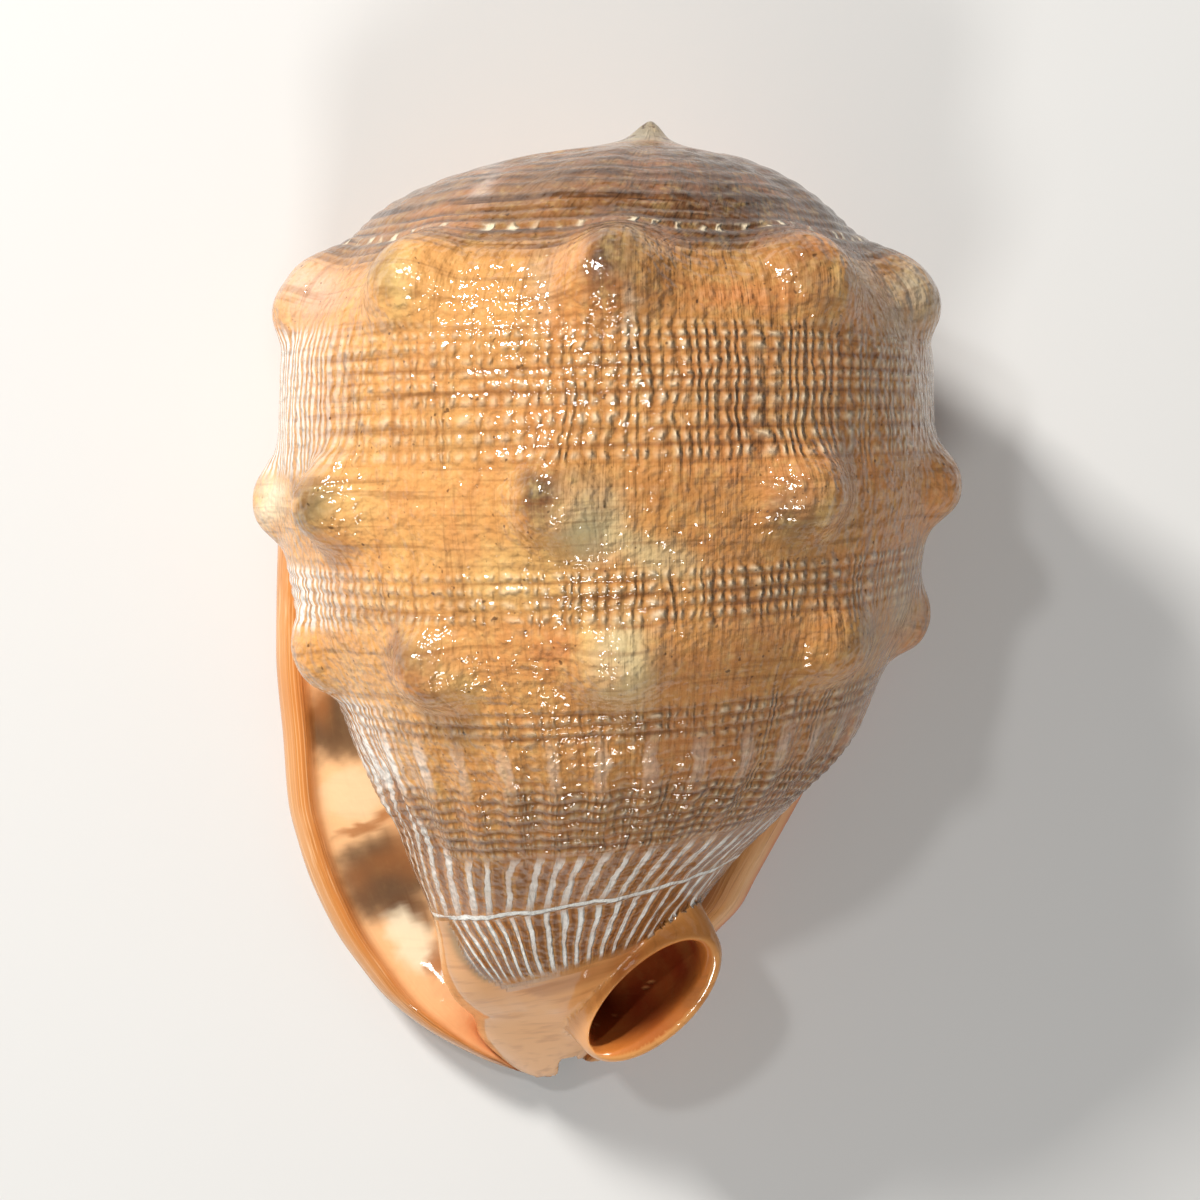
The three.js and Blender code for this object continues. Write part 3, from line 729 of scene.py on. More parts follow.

# Patches on the back, as seen from above: colour, middle, half size, turn and strength. Most are the shell's
# own colour; the dark ones noted below are painted shade on the knobs' left and lower flanks.
SPOTS_AND_KNOB_SHADE = [
    ("amber", (-44.7, 48.4), (9.5, 7.5), 0, 0.45), ("mauve", (-45.6, 48.9), (5.4, 5), 20, 0.85),
    ("grey_green", (-33.3, 51.5), (3.2, 5.3), 10, 0.6), ("straw", (-31.6, 49.3), (1.5, 6), -8, 0.65),
    ("brown", (8, 48), (11, 4.4), 0, 0.35), ("grey", (0.3, 53.1), (3, 6.4), 4, 1),
    ("grey_green", (4.9, 54.5), (2.3, 4.8), 0, 0.8), ("cream", (4.6, 44), (0.75, 5.4), 4, 0.7),
    ("umber", (7.9, 32.2), (0.6, 10), 9.5, 0.3), ("dark_brown", (32.7, 54.3), (3.8, 2.2), -25, 0.6),
    ("straw", (37.6, 49.9), (0.9, 5.3), -4, 0.5), ("flush", (22.8, 47.6), (9.4, 2.4), 0, 0.6),
    ("grey_green", (33.8, 49.5), (3.3, 3.1), 0, 0.4), ("bone", (49, 47.4), (4.1, 5.7), 0, 0.8),
    ("cream", (-52.2, 15.7), (2.4, 4.8), 0, 0.85), ("grey_green", (-44.9, 15.7), (3.1, 4.4), 0, 0.85),
    # The dark_brown spot on the next line is painted shade along the left edge of the knob beside it.
    ("dark_brown", (-47.4, 14.6), (0.7, 5.4), 14, 0.7), ("straw", (-38.9, 14.9), (5.7, 3.8), 0, 0.3),
    ("grey", (-9.4, 16.2), (3.6, 4.4), 0, 1), ("umber", (-9.8, 16.6), (2.6, 3.6), 0, 0.6),
    # The second umber spot on the next line is painted shade on that same knob's left edge.
    ("umber", (0.3, 53.1), (1.8, 4.6), 4, 0.45), ("umber", (-45.6, 15), (1.6, 4), 8, 0.3),
    # The umber spot on the next line is painted shade on the left flank of a knob in the lowest row.
    ("umber", (-30.2, -9.5), (2.2, 4.2), 12, 0.35), ("brown", (-5.3, 19.4), (7.9, 1.0), -6, 0.45),
    ("celadon", (-1.6, 12.4), (5.5, 6.6), 0, 0.9), ("celadon", (7.9, 7.1), (8.5, 3.2), -18, 0.6),
    ("sienna", (10.4, 17.6), (9.4, 3.5), 0, 0.4), ("grey_green", (31.4, 13.8), (3.8, 6), 0, 0.8),
    ("straw", (35.6, 14.9), (1.2, 5.3), 0, 0.55), ("grey", (27.5, 14.9), (2.2, 2.8), 0, 0.5),
    ("amber", (53.1, 18.5), (1.9, 4.7), 0, 0.5), ("amber", (-43.6, -7.9), (4.1, 4.4), 0, 0.7),
    # The next two dark_brown spots are painted shade: a crescent to the left of and below that knob.
    ("dark_brown", (-31.8, -8.6), (1.3, 4.2), 12, 0.75),
    ("dark_brown", (-28.4, -14.4), (1.2, 4.6), 55, 0.65), ("straw", (-23.2, -13.8), (4.1, 3.2), 0, 0.5),
    ("grey_green", (-27.4, -9.4), (3.9, 4.1), 0, 0.55), ("celadon", (3.2, -9.7), (5.4, 6.6), 4, 0.85),
    ("straw", (-2.6, -6.3), (1.5, 4.7), 0, 0.5), ("straw", (-12.6, 3.1), (11, 5.3), -8, 0.45),
    ("flush", (-6.6, -7.9), (3.6, 3.1), 0, 0.5), ("bone", (47.9, -2.4), (2.2, 3.8), 0, 0.5),
    ("grey_green", (41.1, -6.3), (3.1, 4.1), 0, 0.35), ("sienna", (17.3, 6.3), (9, 4), 0, 0.25),
    ("umber", (-11.9, -28), (0.5, 12), 0, 0.5), ("golden", (-24.3, -26.7), (6.3, 3.4), 0, 0.6),
    ("blue_grey", (30, 63.5), (9, 1.6), -30, 0.45), ("white", (-18, 66.5), (1.6, 4.2), -14, 0.75),
    ("bone", (41.5, 52.5), (2.2, 7), 20, 0.35), ("bone", (-9, 51), (2.2, 8), 2, 0.35),
]
# Patches on the back of the lip, in the same way.
LIP_SPOTS = [
    ("smoke", (-41, -19), (6, 7), 0, 1), ("peach", (-38.4, -30.2), (8, 5.4), 25, 0.6),
    ("cream", (-38.4, -30.2), (6, 4), 25, 0.3), ("sienna", (-36.3, -35), (6, 0.9), 27, 0.8),
    ("umber", (-34, -43.2), (8, 6.8), 25, 0.9), ("dark_brown", (-29.5, -49.5), (4, 3.4), 0, 0.9),
    ("cream", (-29.5, -53.5), (3.6, 5), 30, 0.95), ("sienna", (-25.2, -56), (2.4, 3.4), 20, 0.8),
    ("olive", (-22.6, -57.5), (0.9, 6), 8, 0.8), ("white", (-24.4, -59), (0.6, 0.8), 0, 0.8),
]
# Where the fasciole ends on the lip's side, as (y, x) seen from above.
FASCIOLE_END = [
    (-48, -26), (-51.8, -22.8), (-55.7, -21.2), (-58, -19.4), (-60, -16.6), (-61.5, -13.6), (-62.6, -10),
    (-66, -4), (-70, 4),
]
FASCIOLE_TOP = -45.4
FASCIOLE_LOW = (-57.6, -56)  # over this stretch the stripes give way to the bare fold
FASCIOLE_SLOPE = 0.03  # mm along the axis for each degree round it
SURFACE_GAP = 1.2  # mm: a point farther than this from the outside isn't on it
# How far the fasciole's stripes lean: the angle, and the degrees over its breadth.
STRIPE_LEAN = [(100, 30), (60, 24), (30, 10), (0, 2), (-30, -5), (-60, -8)]


def mix(tint, colour, share):
    share = np.clip(share, 0, 1)[:, None]
    tint += (PALETTE[colour] - tint) * share


def wobble(x, y):
    """The place pushed about a little, so that what is painted by place has an uneven edge."""
    across = 0.55 * np.sin(0.62 * y + 0.9) + 0.35 * np.sin(1.55 * y - 0.8 * x)
    along = 0.5 * np.sin(0.7 * x + 2.1) + 0.3 * np.sin(1.7 * x + 0.9 * y)
    return x + across + 0.15 * np.sin(4.1 * y + 2.3 * x), y + along + 0.15 * np.sin(3.7 * x - 2.9 * y)


def spot(x, y, middle, half, turn, power=1.6):
    """A soft oval, 1 in its middle."""
    a = math.radians(turn)
    dx, dy = x - middle[0], y - middle[1]
    u = (dx * math.cos(a) + dy * math.sin(a)) / half[0]
    w = (-dx * math.sin(a) + dy * math.cos(a)) / half[1]
    return np.exp(-((u * u + w * w) ** power))


def window(x, low, high, soft):
    return smoothstep(low - soft, low + soft, x) * (1 - smoothstep(high - soft, high + soft, x))


def marks(angles, angle):
    """A phase that is whole at each of the given angles."""
    at = np.array(sorted(angles), float)
    return np.interp(angle, at, np.arange(len(at)), left=-0.5, right=len(at) - 0.5)


# Stretches across the lip and the shield, counted from one of edge_controls to the next.
LIP_BACK = 2.9
LIP_RIM = (2.6, 5.6)
LIP_TEETH = (5.6, 8.2)
MOUTH = (5.9, 9.1)
DISC = (8.9, 12.4)
SHIELD_BACK = (12.6, 13.4)
SHIELD_RIM = (13.6, 15.2)
# Stretches along the axis, some with the softness of their ends.
SPIRE = (51.5, 70)
TIP = (70.3, 71.3)
PALE_BANDS = [(21.5, 41, 1.2), (-0.5, 8, 1), (-24, -11, 1)]
STRIPED = (-56.2, -45.4, 0.5)


def paint_back(tint, x, y, v):
    """The back of the body, from the spire to the fasciole."""
    mix(tint, "golden", np.maximum(0.6 * smoothstep(-40, 5, x), 0.7 * smoothstep(-18, -28, v)))
    # Browner towards the far side: partly the shell's own colour, partly painted shade away from the key
    # light.
    across = smoothstep(-42, 46, x)
    brown = lerp(through(BROWN_NEAR)(v), through(BROWN_AND_SHADE_FAR)(v), across)
    mix(tint, "brown", brown)
    mix(tint, "dark_brown", 0.8 * smoothstep(0.62, 1.0, brown))
    # A few of these spots are painted shade on the knobs' flanks.
    for colour, middle, half, turn, strength in SPOTS_AND_KNOB_SHADE:
        mix(tint, colour, strength * spot(x, y, middle, half, turn))
    # The spire darkens towards its far side: partly its own dark brown, partly painted shade.
    on_spire = window(v, *SPIRE, 1.5)
    mix(tint, "dark_brown", on_spire * (0.5 + 0.3 * smoothstep(-5, 30, x)))
    mix(tint, "umber", 0.75 * on_spire * smoothstep(-14, 32, x))
    mix(tint, "bone", 0.9 * smoothstep(*TIP, v))


def paint_edges(tint, x, y, edge):
    """The lip and the parietal shield, on top and underneath."""
    mix(tint, "peach", 1.0 * (edge >= 0))
    for colour, middle, half, turn, strength in LIP_SPOTS:
        mix(tint, colour, strength * (edge < LIP_BACK) * spot(x, y, middle, half, turn, 3.5))
    mix(tint, "amber", window(edge, *LIP_RIM, 0.25) * (edge >= 0))
    mix(tint, "orange", 0.75 * window(edge, 2.4, 3.3, 0.35) + 0.55 * window(edge, 4.3, 5.2, 0.4))
    mix(tint, "amber", smoothstep(*SHIELD_BACK, edge))
    mix(tint, "sienna", 0.7 * window(edge, *SHIELD_RIM, 0.4))
    mix(tint, "salmon", 0.9 * window(edge, *DISC, 0.2))
    mix(tint, "cream", 0.6 * window(edge, *LIP_TEETH, 0.3))


def paint_canal(tint, x, y, z, source):
    """The canal's wall, smoky at its back, and its bore, red in its depth, partly its own colour and partly
    painted shade, with painted light keeping the lit lower wall paler.
    """
    wall, inside = source == WALL, source == BORE
    mix(tint, "amber", 1.0 * wall)
    back = window(x - y, 54, 66, 3) * smoothstep(4, 9, x) * (1 - smoothstep(29, 34, z))
    mix(tint, "smoke", 0.9 * wall * back)
    mix(tint, "orange", 1.0 * inside)
    along_mouth = (x + y) / math.sqrt(2)
    # Painted light: the lower right wall inside the bore is kept paler where light falls on it.
    lit_wall = smoothstep(49.5, 54, (x - y) / math.sqrt(2))
    # The red that deepens down the bore is partly the canal's colour and partly painted shade in the hole.
    depth = smoothstep(37, 31, z) * smoothstep(-50, -40, along_mouth)
    mix(tint, "red_brown", inside * depth * (1 - 0.45 * lit_wall))


def paint_mouth(tint, y, z, edge, source):
    """The chamber, the slit, and painted shade deep where the slit meets the canal."""
    mix(tint, "salmon", 1.0 * (source == CHAMBER))
    mix(tint, "sienna", 1.0 * (source == SLIT))
    # Painted shade: umber over the slit and the mouth's edges below the canal, where they lie in shadow.
    throat_shade = (1 - smoothstep(-52, -46, y)) * smoothstep(0.5, 2, z)
    mix(tint, "umber", throat_shade * ((source == SLIT) | (window(edge, *MOUTH, 0.2) > 0)))


def base_colour(points, x, y, v, slanted_v, edge, source, fold, sheet):
    """The colour under the fine patterns."""
    blot_x, blot_y = wobble(x, y)
    body = np.tile(PALETTE["tan"], (len(points), 1))
    paint_back(body, blot_x, blot_y, v)
    mix(body, "amber", sheet)
    mix(body, "peach", sheet * (0.3 + 0.3 * smoothstep(-60, -72, v)))
    edges = np.tile(PALETTE["tan"], (len(points), 1))
    paint_edges(edges, blot_x, blot_y, edge)
    tint = np.where((edge >= 0)[:, None], edges, body)
    # Painted shade: an olive line in the crease along the lip side of the fasciole's fold.
    crease_shade = np.exp(-((fold + 0.6) ** 2) / 0.8) * window(v, -56, -46, 1)
    mix(tint, "olive", 0.7 * crease_shade * (edge < 0))
    paint_canal(tint, x, y, points[:, 2], source)
    paint_mouth(tint, points[:, 1], points[:, 2], edge, source)
    # A sienna band just below the fasciole's stripes: partly a brown line of the shell, partly painted shade
    # under the fasciole's swell.
    brown_and_shade_below_stripes = window(slanted_v, -60.5, FASCIOLE_LOW[0], 0.7) * smoothstep(0, 3, fold)
    mix(tint, "sienna", 0.55 * brown_and_shade_below_stripes * (edge < 0))
    return tint


def dark_lines(v):
    lines = np.zeros(len(v))
    for place, strength in DARK_LINES:
        lines = np.maximum(lines, strength * np.exp(-(((v - place) / DARK_LINE_WIDTH) ** 2)))
    return lines


def streak_phase(v, angle):
    """Whole on each streak in front of the folds, and on each stripe of the fasciole."""
    below = np.clip((WHITE_LINE - v) / FASCIOLE_BREADTH, 0, 1.2)
    slanted = angle + through(STRIPE_LEAN)(angle) * below**1.25
    return np.where(v > WHITE_LINE, marks(STREAKS, angle + 0.4 * (v + 40)), marks(STRIPES, slanted))


def paint(points, v, angle, edge, source, gap):
    """The base colour of each vertex, and how strongly each fine pattern shows there."""
    scale = (CAMERA_HEIGHT - VIEW_PLANE) / (CAMERA_HEIGHT - points[:, 2])
    x, y = points[:, 0] * scale, points[:, 1] * scale
    on_body = (edge < 0) & (source == OUTSIDE) & (gap < SURFACE_GAP)
    fold = x - through(FASCIOLE_END)(y)
    slanted_v = v + FASCIOLE_SLOPE * angle
    on_fold = (1 - smoothstep(-0.4, 0.8, fold)) * (v < FASCIOLE_TOP)
    sheet = np.maximum(1 - smoothstep(*FASCIOLE_LOW, slanted_v), on_fold)
    near, far = smoothstep(50, 82, angle), smoothstep(-58, -86, angle)
    paled = sum(window(v, *band) for band in PALE_BANDS)
    in_streaks = window(v, -44.2, lerp(-35.6, -16, smoothstep(52, 78, angle)), 1.6)
    in_stripes = window(v, *STRIPED) * (1 - sheet)
    folds = window(v, -23, -17, 2.6) * (0.2 + 0.8 * smoothstep(40, 75, angle))
    return {
        "tint": base_colour(points, x, y, v, slanted_v, edge, source, fold, sheet),
        "fine": through(FINE)(v) * on_body * (1 - sheet) * (0.6 + 0.4 * smoothstep(-20, 12, x)),
        "white": (near * 0.95 + far * 0.55) * np.clip(paled, 0, 1) * on_body,
        "cord": cord_phase(v),
        "rib": angle / RIB_PITCH,
        "streak": streak_phase(v, angle),
        "streaks": (in_streaks * 0.8 + in_stripes) * on_body,
        "folds": folds * on_body,
        "lines": dark_lines(v) * on_body * (1 - smoothstep(60, 85, angle) * (v < 50)),
        "place": v,
        "turn": angle,
        "edge": np.where(on_body, -1.0, edge),
        "skin": np.where(on_body, 1 - sheet, 0.1 * (edge < LIP_BACK)),
    }


# ---- The material ----
# What paint gives to each vertex beside its tint.
PATTERNS = "fine white lines skin cord rib place edge turn streak streaks folds".split()
# Each noise: its lumps to a metre, its layers and how rough they are.
NOISES = {
    "rim": (18, 1, 0.5), "clouds": (42, 2, 0.6), "broad": (75, 2, 0.6), "blots": (110, 1, 0.5),
    "medium": (260, 2, 0.6), "flecks": (420, 2, 0.7), "wrinkles": (620, 1, 0.5), "pores": (900, 1, 0.5),
    "grain": (1500, 1, 0.65),
}
# How high the patterns stand, in mm.
RELIEF = {
    "rib": 0.42, "bead": 0.5, "streak": 0.45, "grain": 0.16, "wrinkles": 0.7, "medium": 0.9, "growth": 0.5,
    "rim": 0.35, "ridge": 0.4, "fold": 0.4, "bead row": 0.5, "tooth": 0.9,
}
GLOSS_RELIEF = {"wrinkles": 0.55, "medium": 0.9, "cord": 0.2}


class Graph:
    """A material's nodes, written as formulas."""

    def __init__(self, name):
        self.material = bpy.data.materials.new(name)
        self.material.use_nodes = True
        self.tree = self.material.node_tree
        self.tree.nodes.clear()
        self.colour = None

    def node(self, kind, **settings):
        made = self.tree.nodes.new(kind)
        for key, value in settings.items():
            setattr(made, key, value)
        return made

    def put(self, socket, value):
        if isinstance(value, bpy.types.NodeSocket):
            self.tree.links.new(value, socket)
        else:
            socket.default_value = value

    def attribute(self, name, output="Fac"):
        return self.node("ShaderNodeAttribute", attribute_name=name).outputs[output]

    def math(self, operation, *values):
        made = self.node("ShaderNodeMath", operation=operation)
        for socket, value in zip(made.inputs, values):
            self.put(socket, value)
        return made.outputs[0]

    def add(self, *values):
        return reduce(lambda total, value: self.math("ADD", total, value), values)

    def times(self, *values):
        return reduce(lambda total, value: self.math("MULTIPLY", total, value), values)

    def wave(self, phase):
        """1 where the phase is whole, and 0 halfway between."""
        turned = self.math("COSINE", self.times(phase, 2 * math.pi))
        return self.math("MULTIPLY_ADD", turned, 0.5, 0.5)

    def power(self, value, exponent):
        return self.math("POWER", value, exponent)

    def less(self, value):
        return self.math("SUBTRACT", 1.0, value)

    def at_least(self, low, value):
        """The value drawn up, so that it runs from low to 1."""
        return self.math("MULTIPLY_ADD", value, 1 - low, low)

    def swing(self, noise, size):
        """A noise about 0."""
        return self.times(self.math("SUBTRACT", noise, 0.5), size)

    def step(self, value, low, high):
        made = self.node("ShaderNodeMapRange", interpolation_type="SMOOTHSTEP")
        for name, given in (("Value", value), ("From Min", low), ("From Max", high)):
            self.put(made.inputs[name], given)
        return made.outputs[0]

    def fall(self, value, low, high):
        return self.less(self.step(value, low, high))

    def lay(self, colour, *shares):
        """Lays so much of a colour over what there is."""
        made = self.node("ShaderNodeMix", data_type="RGBA")
        factor, under, over = made.inputs[0], made.inputs[6], made.inputs[7]
        self.put(factor, self.times(*shares))
        self.put(under, self.colour)
        self.put(over, (*PALETTE[colour], 1.0))
        self.colour = made.outputs[2]

    def noise(self, where, scale, detail, roughness):
        made = self.node("ShaderNodeTexNoise")
        for name, value in zip(("Vector", "Scale", "Detail", "Roughness"), (where, scale, detail, roughness)):
            self.put(made.inputs[name], value)
        return made.outputs["Fac"]

    def field(self, x, y, z, detail, roughness=0.5):
        """Noise over three numbers, one step of each being one lump of it."""
        place = self.node("ShaderNodeCombineXYZ")
        for socket, value in zip(place.inputs, (x, y, z)):
            self.put(socket, value)
        return self.noise(place.outputs[0], 1.0, detail, roughness)

    def bump(self, height_mm):
        made = self.node("ShaderNodeBump")
        made.inputs["Distance"].default_value = MM
        self.put(made.inputs["Height"], height_mm)
        return made.outputs[0]

    def finish(self, shader):
        out = self.node("ShaderNodeOutputMaterial")
        self.tree.links.new(shader.outputs[0], out.inputs[0])
        return self.material


def weave(g):
    """What the shell's patterns share, and the ribs and cords that cross on its back."""
    p = SimpleNamespace(**{name: g.attribute(name) for name in PATTERNS})
    where = g.node("ShaderNodeTexCoord").outputs["Object"]
    p.where = where
    p.noise = {name: g.noise(where, *sizes) for name, sizes in NOISES.items()}
    broad, medium = p.noise["broad"], p.noise["medium"]

    # Streaks left by growth run from the spire to the canal, and others wind round the shell.
    p.spire = g.step(p.place, 50.0, 54.0)
    slant = g.times(g.math("MAXIMUM", g.add(p.place, -48.0), 0.0), p.spire, 0.9)
    p.growth = g.field(g.times(g.add(p.turn, slant), 0.55), g.times(p.place, 0.05), 2.0, 3.0, 0.65)
    p.winding = g.field(g.times(p.turn, 0.03), g.times(p.place, 0.75), 7.0, 2.0, 0.65)

    # Ribs and cords wander, vary in breadth, and come and go.
    p.crowding = g.swing(g.field(g.times(p.turn, 0.12), g.times(p.place, 0.012), 11.0, 1.0), 4.0)
    p.jitter = g.swing(medium, 1.2)
    p.rib_wave = g.wave(g.add(p.rib, g.swing(broad, 1.8), p.crowding, p.jitter))
    p.cord_wave = g.wave(g.add(p.cord, g.times(p.jitter, 0.5)))
    p.presence = g.step(medium, 0.32, 0.62)
    p.rib_strength = g.step(g.field(g.times(p.turn, 0.3), g.times(p.place, 0.09), 5.0, 1.0), 0.3, 0.62)
    cord_strength = g.step(p.winding, 0.4, 0.62)
    p.rib_groove = g.times(g.power(g.less(p.rib_wave), 2.2), p.fine, g.at_least(0.2, p.rib_strength))
    p.cord_groove = g.times(g.power(g.less(p.cord_wave), 2.0), p.fine, g.at_least(0.15, cord_strength))
    beads = g.times(g.power(p.rib_wave, 1.2), g.power(p.cord_wave, 1.2))
    p.bead = g.times(beads, p.fine, g.at_least(0.3, p.presence))
    return p


def colour_back(g, p):
    """Flushes and streaks, the weave of ribs and cords with a painted highlight on its beads, dark lines,
    pores and a row of white beads.
    """
    medium = p.noise["medium"]
    along = g.math("MULTIPLY_ADD", p.spire, -0.2, 0.4)
    round_it = g.math("MULTIPLY_ADD", p.spire, 0.4, 0.4)
    g.lay("flush", g.step(p.noise["broad"], 0.4, 0.7), p.skin, 0.35)
    g.lay("straw", g.step(p.noise["flecks"], 0.45, 0.8), p.skin, 0.3)
    g.lay("brown", g.step(p.growth, 0.52, 0.7), p.skin, along)
    g.lay("straw", g.fall(p.growth, 0.3, 0.47), p.skin, along, 0.4)
    g.lay("brown", g.step(p.winding, 0.52, 0.68), p.skin, round_it)
    g.lay("umber", g.step(p.winding, 0.56, 0.7), p.spire, p.skin, 0.8)
    g.lay("sienna", p.rib_groove, 0.45)
    g.lay("sienna", p.cord_groove, 0.5)
    g.lay("dark_brown", p.rib_groove, p.cord_groove, 0.7)
    # Painted highlight: cream on the beads where the ribs and cords cross.
    g.lay("cream", p.bead, 0.75)
    dark_line = g.times(p.lines, g.at_least(0.25, g.step(medium, 0.3, 0.65)))
    g.lay("dark_brown", dark_line, 0.8)
    g.lay("umber", dark_line, p.spire, 0.7)
    g.lay("white", p.white, g.step(p.rib_wave, 0.3, 0.7))
    g.lay("umber", g.fall(p.noise["pores"], 0.2, 0.3), p.skin, 0.7)
    off_row = g.math("ABSOLUTE", g.add(p.place, -BEAD_ROW, g.times(p.jitter, 0.8)))
    beads = g.wave(g.add(g.times(p.turn, 0.2), g.times(p.crowding, 0.3), p.jitter))
    seen = g.times(g.step(medium, 0.42, 0.6), p.skin)
    p.bead_row = g.times(g.fall(off_row, 0.3, 0.9), g.step(beads, 0.5, 0.95), seen)
    g.lay("cream", p.bead_row, 0.85)


def colour_front(g, p):
    """White streaks and stripes across the front, with brown between them and painted shade in their gaps,
    the folds' pale crests and the ridge by the fasciole.
    """
    p.streak_wave = g.wave(g.add(p.streak, g.times(p.jitter, 0.3)))
    widened = g.add(p.streak_wave, g.swing(p.noise["blots"], 0.7))
    beside = g.times(p.streaks, g.fall(widened, 0.2, 0.6))
    g.lay("sienna", beside, 0.6)
    # Painted shade: dark brown down the middle of the gaps between the raised streaks and stripes.
    g.lay("dark_brown", beside, g.fall(widened, 0.05, 0.3), 0.5)
    g.lay("white", p.streaks, g.step(widened, 0.64, 0.8), g.at_least(0.6, p.presence))
    crests = g.times(p.turn, FOLDS["count"] / 360)
    p.fold_wave = g.wave(g.add(crests, g.times(p.jitter, 0.3), g.times(p.crowding, 0.08)))
    g.lay("white", p.folds, g.step(p.fold_wave, 0.7, 0.92), 0.9)
    off_line = g.math("ABSOLUTE", g.add(p.place, -WHITE_LINE, g.times(p.jitter, 0.9)))
    p.ridge = g.times(g.fall(off_line, 0.22, 0.42), g.step(p.skin, 0.6, 0.9))
    g.lay("white", p.ridge)


def colour_bare(g, p):
    """Growth lines along the lip's rim, the shield's edge and the fold round the canal, and clouds."""
    along_rim = g.times(g.step(p.edge, 2.2, 2.8), g.fall(p.edge, 5.8, 6.4))
    p.grown = g.math("MAXIMUM", along_rim, g.step(p.edge, 12.3, 12.8))
    p.rim_lines = g.field(g.times(p.edge, 8.3), g.times(p.noise["rim"], 7.8), 0.0, 3.0, 0.7)
    g.lay("peach", p.grown, g.step(p.rim_lines, 0.52, 0.66), 0.75)
    g.lay("sienna", p.grown, g.fall(p.rim_lines, 0.3, 0.46), 0.75)
    bare = g.fall(p.skin, 0.1, 0.6)
    clouds = p.noise["clouds"]
    g.lay("orange", g.step(clouds, 0.5, 0.68), bare, 0.35)
    g.lay("peach", g.fall(clouds, 0.32, 0.5), bare, 0.3)
    on_fold = g.times(bare, g.fall(p.edge, -0.9, -0.5))
    g.lay("sienna", on_fold, g.step(p.winding, 0.46, 0.72), 0.35)


def colour_underside(g, p):
    """The lip and the shield have pale teeth with dark gaps, and the lip has dark bars."""
    apart = g.node("ShaderNodeSeparateXYZ")
    g.put(apart.inputs[0], p.where)
    along = g.math("MULTIPLY_ADD", apart.outputs[1], 1 / MM, ORIGIN[1])
    uneven = g.swing(p.noise["broad"], 1.6)
    pushed = g.add(p.edge, uneven)
    p.tooth = g.wave(g.times(g.add(along, g.times(uneven, 1.2)), 1 / TOOTH_PITCH))
    on_lip = g.times(g.step(pushed, 6.3, 7.0), g.fall(p.edge, 7.3, 7.6))
    on_shield = g.times(g.step(p.edge, 8.5, 8.7), g.fall(pushed, 8.9, 9.5))
    p.toothed = g.times(g.math("MAXIMUM", on_lip, on_shield), g.step(along, TEETH_FROM - 2, TEETH_FROM + 2))
    g.lay("cream", p.toothed, g.step(p.tooth, 0.4, 0.8), 0.8)
    g.lay("dark_brown", p.toothed, g.fall(p.tooth, 0.1, 0.5), 0.65)
    bars = g.step(g.field(g.times(along, 0.17), g.times(p.edge, 0.25), 3.0, 1.0), 0.5, 0.58)
    barred = g.times(g.step(p.edge, 4.7, 5.1), g.fall(p.edge, 5.9, 6.3))
    g.lay("dark_brown", bars, barred, 0.75)


def surface_relief(g, p):
    """The patterns' height in mm."""
    parts = {
        "rib": (p.rib_wave, p.fine, g.at_least(0.3, p.rib_strength)),
        "bead": (p.bead,),
        "streak": (g.step(p.streak_wave, 0.6, 0.95), p.streaks),
        "grain": (p.noise["grain"], p.skin),
        "wrinkles": (p.noise["wrinkles"], p.skin),
        "medium": (p.noise["medium"], p.skin),
        "growth": (p.growth, p.skin),
        "rim": (p.rim_lines, p.grown),
        "ridge": (p.ridge,),
        "fold": (g.step(p.fold_wave, 0.6, 1.0), p.folds),
        "bead row": (p.bead_row,),
        "tooth": (p.tooth, p.toothed),
    }
    return g.add(*(g.times(*shares, RELIEF[name]) for name, shares in parts.items()))


def gloss_relief(g, p):
    """The gloss over it follows only the broader lumps, and so it glints."""
    lumps = g.add(*(g.times(p.noise[name], GLOSS_RELIEF[name]) for name in ("wrinkles", "medium")))
    on_lumps = g.times(lumps, p.skin, g.less(g.times(p.spire, 0.7)))
    return g.add(on_lumps, g.times(p.cord_wave, p.fine, GLOSS_RELIEF["cord"]))


def shell_material():
    g = Graph("shell_gloss")
    g.colour = g.attribute("tint", "Color")
    p = weave(g)
    colour_back(g, p)
    colour_front(g, p)
    colour_bare(g, p)
    colour_underside(g, p)
    shader = g.node("ShaderNodeBsdfPrincipled")
    g.put(shader.inputs["Base Color"], g.colour)
    g.put(shader.inputs["Roughness"], g.math("MULTIPLY_ADD", p.noise["grain"], 0.16, 0.42))
    g.put(shader.inputs["Normal"], g.bump(surface_relief(g, p)))
    g.put(shader.inputs["Coat Normal"], g.bump(gloss_relief(g, p)))
    shader.inputs["Coat Weight"].default_value = 0.8
    shader.inputs["Coat Roughness"].default_value = 0.07
    shader.inputs["Coat IOR"].default_value = 1.65
    shader.inputs["Specular IOR Level"].default_value = 0.12
    return g.finish(shader)


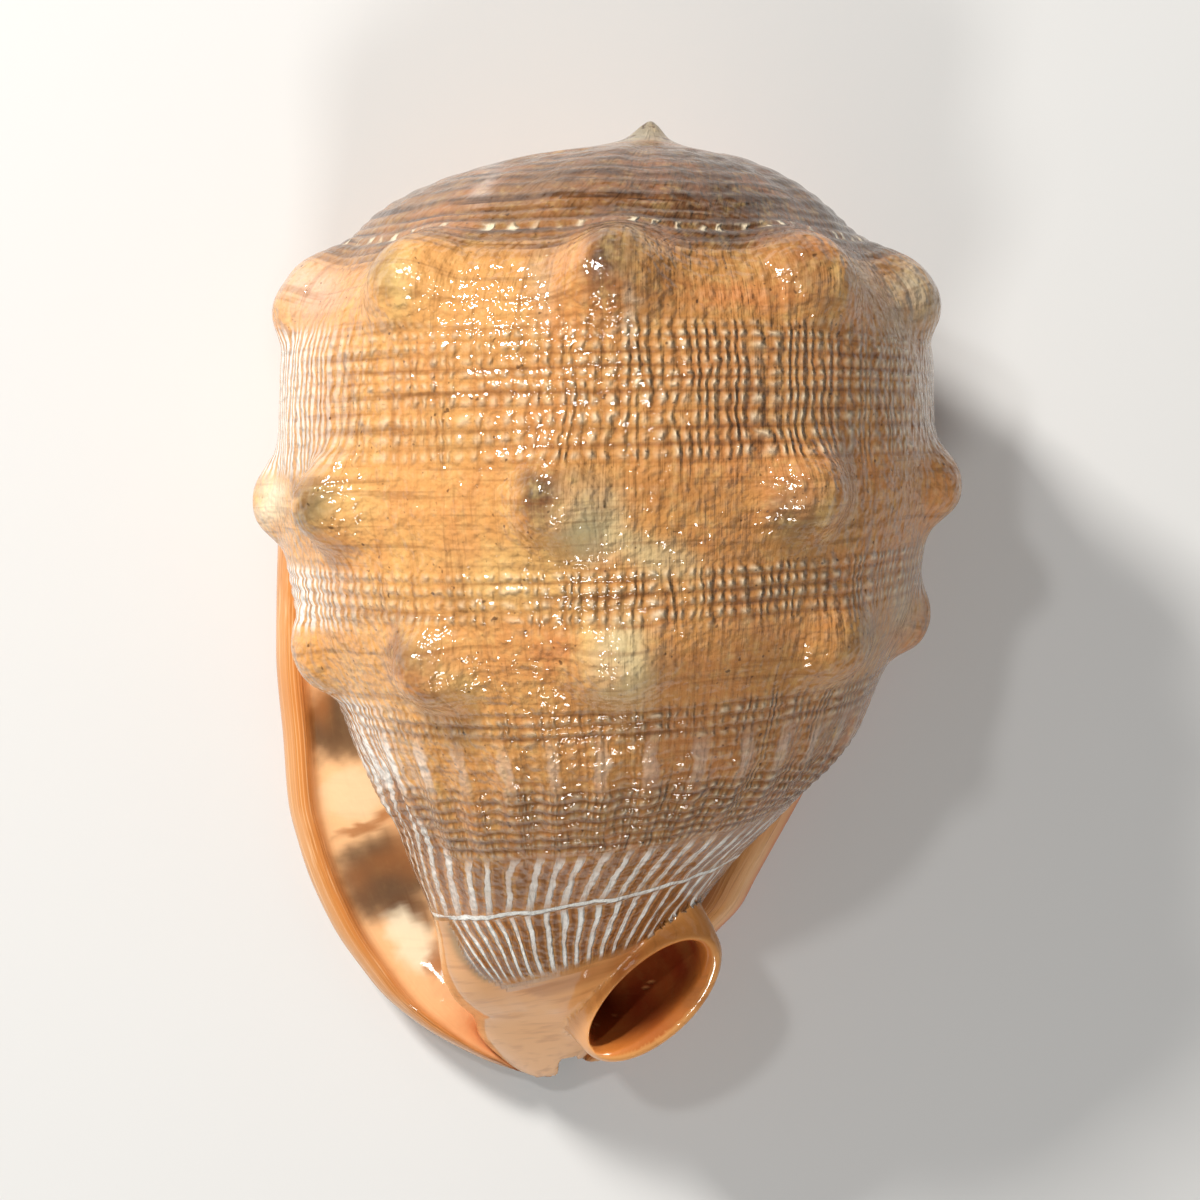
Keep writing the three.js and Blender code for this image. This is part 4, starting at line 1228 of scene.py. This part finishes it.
# ---- The stage ----
# Lights: name, place, size in metres, watts and colour.
LIGHTS = [
    ("key", (-0.52, 0.62, 0.64), 0.17, 10.8, (1.0, 0.97, 0.93)),
    ("high", (-0.3, 0.3, 1.0), 0.07, 1.5, (1.0, 1.0, 1.0)),
    ("front", (-0.12, -0.62, 0.75), 0.2, 3.4, (1.0, 0.98, 0.95)),
    ("fill", (0.8, -0.2, 0.6), 0.8, 0.6, (1.0, 1.0, 1.0)),
]
AIM = (0, 0, 0.04)
SKY_STRENGTH = 0.15
FLOOR_SIZE = 6
FLOOR_DROP = 0.4 * MM  # the floor lies so far below the shell that the two don't flicker
FLOOR_COLOUR = (0.72, 0.72, 0.71, 1)
SENSOR_WIDTH = 36


def floor():
    bpy.ops.mesh.primitive_plane_add(size=FLOOR_SIZE, location=(0, 0, -FLOOR_DROP))
    plane = bpy.context.object
    plane.name = "floor"
    g = Graph("pale_floor")
    shader = g.node("ShaderNodeBsdfPrincipled")
    shader.inputs["Base Color"].default_value = FLOOR_COLOUR
    shader.inputs["Roughness"].default_value = 0.7
    plane.data.materials.append(g.finish(shader))


def area_light(name, place, size, power, colour):
    data = bpy.data.lights.new(name, "AREA")
    data.size = size
    data.energy = power
    data.color = colour
    light = bpy.data.objects.new(name, data)
    light.location = place
    light.rotation_euler = (Vector(AIM) - Vector(place)).to_track_quat("-Z", "Y").to_euler()
    bpy.context.scene.collection.objects.link(light)


def studio():
    for light in LIGHTS:
        area_light(*light)
    world = bpy.data.worlds.new("studio")
    world.use_nodes = True
    background = world.node_tree.nodes["Background"]
    background.inputs["Color"].default_value = (1, 1, 1, 1)
    background.inputs["Strength"].default_value = SKY_STRENGTH
    bpy.context.scene.world = world
    bpy.context.scene.view_settings.view_transform = "Standard"


def camera():
    data = bpy.data.cameras.new("camera")
    data.sensor_width = SENSOR_WIDTH
    data.lens = SENSOR_WIDTH * (CAMERA_HEIGHT - VIEW_PLANE) / VIEW_WIDTH
    view = bpy.data.objects.new("camera", data)
    view.location = (-ORIGIN[0] * MM, -ORIGIN[1] * MM, CAMERA_HEIGHT * MM)
    bpy.context.scene.collection.objects.link(view)
    bpy.context.scene.camera = view


camera()
shell = finished_shell()
shell.data.materials.clear()
shell.data.materials.append(shell_material())
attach(shell, "root")
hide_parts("shell")
floor()
studio()
